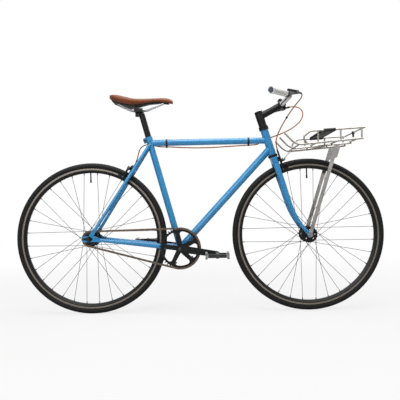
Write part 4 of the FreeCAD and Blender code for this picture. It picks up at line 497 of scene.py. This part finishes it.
def leather_cover():
    """The CAD cover's shape, remeshed evenly, with its edges smoothed round."""
    made = placed("saddle_leather", nodes["saddle_cover"].data.copy())
    alone(made)
    bpy.ops.object.mode_set(mode="EDIT")
    bpy.ops.mesh.select_all(action="SELECT")
    bpy.ops.mesh.remove_doubles(threshold=COVER_MERGE)
    bpy.ops.mesh.normals_make_consistent(inside=False)
    bpy.ops.object.mode_set(mode="OBJECT")
    made.data.remesh_voxel_size = COVER_VOXEL
    bpy.ops.object.voxel_remesh()
    applied(made, "SMOOTH", factor=0.5, iterations=COVER_ROUNDS)
    applied(made, "SUBSURF", levels=1, render_levels=1)
    bpy.ops.object.shade_smooth()
    return made


cover = dress(leather_cover(), "seat", leather)
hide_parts("saddle_cover")


# Strap: webbing round both upper rails, which rise towards the front, with its buckle near the far one
RAIL_RISE = 11
RAIL_RUN = 229
RAIL_REACH = 162 * MM
BAND_RADIUS = 5.5 * MM
BAND_STEPS = 12
WEBBING_THICK = 1.8 * MM
STRAP_FLAT = (0.05, 0.683)
BUCKLE_LONG = 58 * MM
BUCKLE_WIDE = 36 * MM
BUCKLE_BAR = 4 * MM
BUCKLE_THICK = 3 * MM
BUCKLE_EDGE = 0.9 * MM
BUCKLE_PLACE = (0, 115 * MM, -8.5 * MM)
strap_slope = math.atan2(RAIL_RISE, RAIL_RUN)
strap_lie = Matrix.Translation(middle("rack_strap")) @ Matrix.Rotation(-strap_slope, 4, "Y")


def strap_band():
    """A flat closed band round the rails, pulled straight between them."""
    data = bpy.data.curves.new("rack_webbing", "CURVE")
    data.dimensions = "2D"
    data.fill_mode = "NONE"
    spline = data.splines.new("POLY")
    ring = []
    for side in (1, -1):
        for k in range(BAND_STEPS + 1):
            angle = math.radians(-90 + 180 * k / BAND_STEPS)
            ring.append((side * (RAIL_REACH + BAND_RADIUS * math.cos(angle)),
                         side * BAND_RADIUS * math.sin(angle)))
    spline.points.add(len(ring) - 1)
    for point, (x, y) in zip(spline.points, ring):
        point.co = (x, y, 0, 1)
    spline.use_cyclic_u = True
    data.extrude = STRAP_FLAT[0] / 2
    made = placed("rack_webbing", data)
    alone(made)
    bpy.ops.object.convert(target="MESH")
    across_bike = Matrix(((0, 0, 1, 0), (1, 0, 0, 0), (0, 1, 0, 0), (0, 0, 0, 1)))
    made.data.transform(strap_lie @ across_bike)
    applied(made, "SOLIDIFY", thickness=WEBBING_THICK, offset=0)
    bpy.ops.object.shade_smooth_by_angle(angle=SOFT_CREASE)
    return made


def strap_buckle():
    """A moulded slide: a frame with two slots beside a middle bar, on the band's underside."""
    bpy.ops.object.select_all(action="DESELECT")
    bpy.ops.mesh.primitive_grid_add(x_subdivisions=1, y_subdivisions=2, size=1)
    made = bpy.context.object
    made.name = "strap_buckle"
    bpy.ops.object.mode_set(mode="EDIT")
    bpy.ops.mesh.select_all(action="SELECT")
    bpy.ops.transform.resize(value=(BUCKLE_LONG, BUCKLE_WIDE, 1))
    bpy.ops.mesh.inset(thickness=BUCKLE_BAR, use_individual=True)
    bpy.ops.mesh.delete(type="FACE")
    bpy.ops.object.mode_set(mode="OBJECT")
    made.data.transform(strap_lie @ Matrix.Translation(BUCKLE_PLACE))
    applied(made, "SOLIDIFY", thickness=BUCKLE_THICK, offset=0)
    applied(made, "BEVEL", width=BUCKLE_EDGE, segments=2, limit_method="ANGLE")
    bpy.ops.object.shade_smooth_by_angle(angle=SOFT_CREASE)
    return made


strap = dress(strap_band(), "fork", webbing)
buckle = dress(strap_buckle(), "fork", black_plastic)
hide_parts("rack_strap")


# Screws: one socket head, 2 mm across and 1 mm high, copied to each screw at its own size
def socket_head():
    """A round head with a bevelled rim and a six-sided socket, upright on the origin."""
    rim = 0.14
    socket_radius = 0.56
    socket_floor = 0.4
    bpy.ops.object.select_all(action="DESELECT")
    bpy.ops.mesh.primitive_cylinder_add(vertices=24, radius=1, depth=1, location=(0, 0, 0.5))
    head = bpy.context.object
    applied(head, "BEVEL", width=rim, segments=2, limit_method="ANGLE")
    bpy.ops.mesh.primitive_cylinder_add(vertices=6, radius=socket_radius, depth=1,
                                        location=(0, 0, socket_floor + 0.5))
    key = bpy.context.object
    applied(head, "BOOLEAN", operation="DIFFERENCE", object=key)
    bpy.data.objects.remove(key)
    bpy.ops.object.transform_apply(location=True)
    bpy.ops.object.shade_smooth_by_angle(angle=CREASE)
    return head


RIGHT = Vector((0, -1, 0))
LEFT = Vector((0, 1, 0))
STEM_ALONG = Vector((0.88208, 0, 0.4711))
STEM_SCREWS = [(x, y, z) for x, z in ((395.83, 907.67), (377.18, 942.6)) for y in (14, -14)]
STEM_HEAD = 1.6
HEAD_UP = Vector((-0.29237, 0, 0.9563))
STAY_UP = Vector((0.5478, 0, 0.8366))
CRANK_AXIS = middle("bottom_bracket_cups") / MM
CRANK_OUT = 69.6
SPIDER_RADIUS = 65
SPIDER_ANGLES = (36, -36, 108, -108, 180)
SPIDER_OUT = 52.7
LEVER_PIVOT = Vector((419.53, 201.93, 938.19))
LEVER_UP = Vector((-0.02433, 0.03626, 0.99905))
LEVER_HEAD = 6.8
PEDAL_OUT = 161.6

# Each screw: name, place in mm, axis, radius, height, body
screws = [(f"stem_screw_{k}", Vector(place) + STEM_ALONG * STEM_HEAD, STEM_ALONG, 3.9, STEM_HEAD, "fork")
          for k, place in enumerate(STEM_SCREWS)]
screws += [("stem_cap_screw", (274.72, 0, 893.25), HEAD_UP, 5.0, 2.2, "fork"),
           ("binder_screw", (-238.1, -12.8, 773.27), RIGHT, 6.2, 2.6, "frame"),
           ("right_crank_screw", CRANK_AXIS + RIGHT * CRANK_OUT, RIGHT, 7.2, 1.6, "crankset"),
           ("left_crank_screw", CRANK_AXIS + LEFT * CRANK_OUT, LEFT, 7.2, 1.6, "crankset")]
for k, degrees in enumerate(SPIDER_ANGLES):
    angle = math.radians(degrees)
    arm_end = Vector((math.cos(angle), 0, math.sin(angle))) * SPIDER_RADIUS + RIGHT * SPIDER_OUT
    screws.append((f"chainring_screw_{k}", CRANK_AXIS + arm_end, RIGHT, 5.2, 1.2, "crankset"))
for side, outward in (("left", LEFT), ("right", RIGHT)):
    mirror = Vector((1, outward.y, 1))
    up = LEVER_UP * mirror
    lever_head = LEVER_PIVOT * mirror + up * LEVER_HEAD
    screws.append((f"{side}_lever_screw", lever_head, up, 4.0, 1.8, "fork"))
    spindle = middle(f"{side}_pedal") / MM
    cap = Vector((spindle.x, 0, spindle.z)) + outward * PEDAL_OUT
    screws.append((f"{side}_pedal_cap", cap, outward, 7.5, 2.0, f"{side}_pedal_body"))

# Brake pad screws: on each arm's outer side, level with the rim's track, in the arm's own layer
ARM_LAYERS = {"side": 8.5, "centre": 17.0}
PAD_SCREW_OUT = 26.0

# Each caliper: end, bolt in mm, way up, 1 ahead of its bolt or -1 behind, drop to the track, right arm
CALIPERS = [("front", (357.78, 0, 669.45), HEAD_UP, 1, 43.25, "side"),
            ("rear", (-295.75, 0, 643.52), STAY_UP, -1, 48.75, "centre")]
for end, bolt, up, ahead, drop, right_arm in CALIPERS:
    layers_along = Vector((up.z, 0, -up.x)) * ahead
    for arm, layer in ARM_LAYERS.items():
        outward = RIGHT if arm == right_arm else LEFT
        place = Vector(bolt) - up * drop + layers_along * layer + outward * PAD_SCREW_OUT
        screws.append((f"{end}_{arm}_pad_screw", place, outward, 4.6, 2.6, f"{end}_{arm}_arm"))

head_pattern = socket_head()
for name, place, axis, radius, height, body in screws:
    fit = pointing(place, axis) @ Matrix.Diagonal((radius, radius, height, 1))
    dress(copied(head_pattern, name, fit), body, screw_steel)
bpy.data.objects.remove(head_pattern)


# Cable ends: a knurled adjusting barrel with a ferrule at each lever and caliper
def cable_end():
    """Barrel with a waisted neck, then a ferrule, in mm, upright on the origin."""
    barrel_radius = 4.2
    barrel_long = 6
    knurl_gap = 0.3
    knurl_slope = 0.12
    knurl_rise = 0.35
    bpy.ops.object.select_all(action="DESELECT")
    bpy.ops.mesh.primitive_cylinder_add(vertices=20, radius=barrel_radius, depth=barrel_long,
                                        location=(0, 0, barrel_long / 2))
    made = bpy.context.object
    bpy.ops.object.transform_apply(location=True)
    bpy.ops.object.mode_set(mode="EDIT")
    pick(made, lambda normal: abs(normal.z) < 0.5)
    bpy.ops.mesh.inset(thickness=knurl_gap, use_individual=True)
    bpy.ops.mesh.inset(thickness=knurl_slope, depth=knurl_rise, use_individual=True)
    pick(made, lambda normal: normal.z > 0.5)
    drawn_up([(1.2, 0.72, 0.72), (1.6, 1.0, 1.0), (0.4, 1.12, 1.12), (5.0, 1.0, 1.0), (0.6, 0.86, 0.86)])
    bpy.ops.mesh.select_all(action="SELECT")
    bpy.ops.mesh.normals_make_consistent(inside=False)
    bpy.ops.object.mode_set(mode="OBJECT")
    bpy.ops.object.shade_smooth_by_angle(angle=CREASE)
    return made


barrels = [("right_lever_barrel", front_route[:2], "fork"),
           ("left_lever_barrel", loop_route[:2], "fork"),
           ("front_caliper_barrel", front_route[:-3:-1], "fork"),
           ("rear_caliper_barrel", run_route[:-3:-1], "frame")]
barrel_pattern = cable_end()
for name, route, body in barrels:
    start = Vector(route[0])
    onward = Vector(route[1])
    dress(copied(barrel_pattern, name, pointing(start, onward - start)), body, anodised)
bpy.data.objects.remove(barrel_pattern)


# Cable clip on the front cable, and lamp tab on the rack's front tube
CLIP_NEAR = Vector((392, -66, 852)) * MM
TAB_PLACE = (703, 18, 792)


def cable_clip():
    """A nylon collar 9 mm long, waisted in the middle, in mm, upright on the origin."""
    collar_radius = 4.4
    lip_long = 3
    edge = 0.4
    bpy.ops.object.select_all(action="DESELECT")
    bpy.ops.mesh.primitive_cylinder_add(vertices=16, radius=collar_radius, depth=lip_long,
                                        location=(0, 0, -lip_long))
    made = bpy.context.object
    made.name = "front_cable_clip"
    bpy.ops.object.transform_apply(location=True)
    bpy.ops.object.mode_set(mode="EDIT")
    pick(made, lambda normal: normal.z > 0.5)
    drawn_up([(0.6, 0.84, 0.84), (1.8, 1.0, 1.0), (0.6, 1.19, 1.19), (lip_long, 1.0, 1.0)])
    bpy.ops.object.mode_set(mode="OBJECT")
    applied(made, "BEVEL", width=edge, segments=2, limit_method="ANGLE")
    bpy.ops.object.shade_smooth_by_angle(angle=CREASE)
    return made


def lamp_tab():
    """A moulded tab, in mm about the tube that it holds: a block with a tongue that narrows downwards."""
    block = 12
    edge = 1.1
    bpy.ops.object.select_all(action="DESELECT")
    bpy.ops.mesh.primitive_cube_add(size=block)
    made = bpy.context.object
    made.name = "rack_lamp_tab"
    bpy.ops.object.mode_set(mode="EDIT")
    bpy.ops.mesh.select_all(action="SELECT")
    bpy.ops.transform.resize(value=(0.9, 1.2, 0.9))
    pick(made, lambda normal: normal.z < -0.5)
    drawn_up([(-3.0, 0.6, 0.8), (-12.0, 1.0, 0.9)])
    bpy.ops.object.mode_set(mode="OBJECT")
    applied(made, "BEVEL", width=edge, segments=3, limit_method="ANGLE")
    bpy.ops.object.shade_smooth_by_angle(angle=SOFT_CREASE)
    return made


front_clip = cable_clip()
spot = min(range(1, len(front_line) - 1), key=lambda k: (front_line[k] - CLIP_NEAR).length)
front_clip.data.transform(pointing(front_line[spot] / MM, front_line[spot + 1] - front_line[spot - 1]))
dress(front_clip, "fork", black_plastic)
tab = lamp_tab()
tab.data.transform(pointing(TAB_PLACE, (0, 0, 1)))
dress(tab, "fork", black_plastic)


# Studio: white floor and background, soft light from above and from both sides
FLOOR_SIZE = 14
SHADOW_REACH = 0.9
WHITE_FROM = 2.6
FILL = 0.14

# Each lamp: name, place, target, size in metres, power in watts
LAMPS = [("overhead", (0.2, -0.6, 3.2), (0, 0, 0.4), 3.0, 125),
         ("camera_side", (-1.6, -3.2, 2.2), (0, 0, 0.5), 2.0, 48),
         ("far_side", (1.4, 2.6, 2.4), (0, 0, 0.5), 2.0, 25)]


def studio_floor():
    """Pale paper that keeps the shadow near the bike, and is all white to the camera further out."""
    bpy.ops.object.select_all(action="DESELECT")
    bpy.ops.mesh.primitive_plane_add(size=FLOOR_SIZE, location=(0, 0, 0))
    floor = bpy.context.object
    floor.name = "studio_floor"
    material, tree, place = started("studio_paper")
    rays = add(tree, "ShaderNodeLightPath")
    paper = add(tree, "ShaderNodeBsdfDiffuse", {"Color": linear("CFCFCE")})
    glow = add(tree, "ShaderNodeEmission", {"Color": linear("FFFFFF"), "Strength": 1.0})
    away = add(tree, "ShaderNodeVectorMath", {"operation": "LENGTH"}, {0: place})
    lost = add(tree, "ShaderNodeMapRange",
               {"From Min": SHADOW_REACH, "From Max": WHITE_FROM, "To Min": 0.76, "To Max": 1.0},
               {"Value": (away, "Value")})
    seen = add(tree, "ShaderNodeMath", {"operation": "MULTIPLY"},
               {0: (rays, "Is Camera Ray"), 1: (lost, "Result")})
    mixed = add(tree, "ShaderNodeMixShader", {},
                {"Fac": (seen, "Value"), 1: (paper, "BSDF"), 2: (glow, "Emission")})
    add(tree, "ShaderNodeOutputMaterial", {}, {"Surface": (mixed, "Shader")})
    floor.data.materials.append(material)
    return floor


def studio_world():
    """White to the camera, paler with height in reflections, and a weak fill for the rest."""
    world = bpy.data.worlds.new("studio")
    bpy.context.scene.world = world
    world.use_nodes = True
    tree = world.node_tree
    tree.nodes.clear()
    rays = add(tree, "ShaderNodeLightPath")
    view = add(tree, "ShaderNodeTexCoord")
    height = add(tree, "ShaderNodeSeparateXYZ", {}, {"Vector": (view, "Generated")})
    rise = add(tree, "ShaderNodeMapRange", {"From Min": -0.1, "From Max": 0.7, "To Min": 0.5, "To Max": 1.0},
               {"Value": (height, "Z")})
    mirrored = add(tree, "ShaderNodeMath", {"operation": "MULTIPLY"},
                   {0: (rays, "Is Glossy Ray"), 1: (rise, "Result")})
    seen = add(tree, "ShaderNodeMath", {"operation": "MAXIMUM"},
               {0: (rays, "Is Camera Ray"), 1: (mirrored, "Value")})
    strength = add(tree, "ShaderNodeMath", {"operation": "MAXIMUM", 1: FILL}, {0: (seen, "Value")})
    sky = add(tree, "ShaderNodeBackground", {"Color": linear("FFFFFF")}, {"Strength": (strength, "Value")})
    add(tree, "ShaderNodeOutputWorld", {}, {"Surface": (sky, "Background")})


def studio_lamp(name, place, target, size, power):
    """A square area lamp turned to its target."""
    data = bpy.data.lights.new(name, "AREA")
    data.energy = power
    data.size = size
    lamp = placed(name, data)
    lamp.location = place
    lamp.rotation_mode = "QUATERNION"
    lamp.rotation_quaternion = (Vector(target) - Vector(place)).to_track_quat("-Z", "Y")


studio_floor()
studio_world()
for lamp in LAMPS:
    studio_lamp(*lamp)
bpy.context.scene.view_settings.view_transform = "Standard"
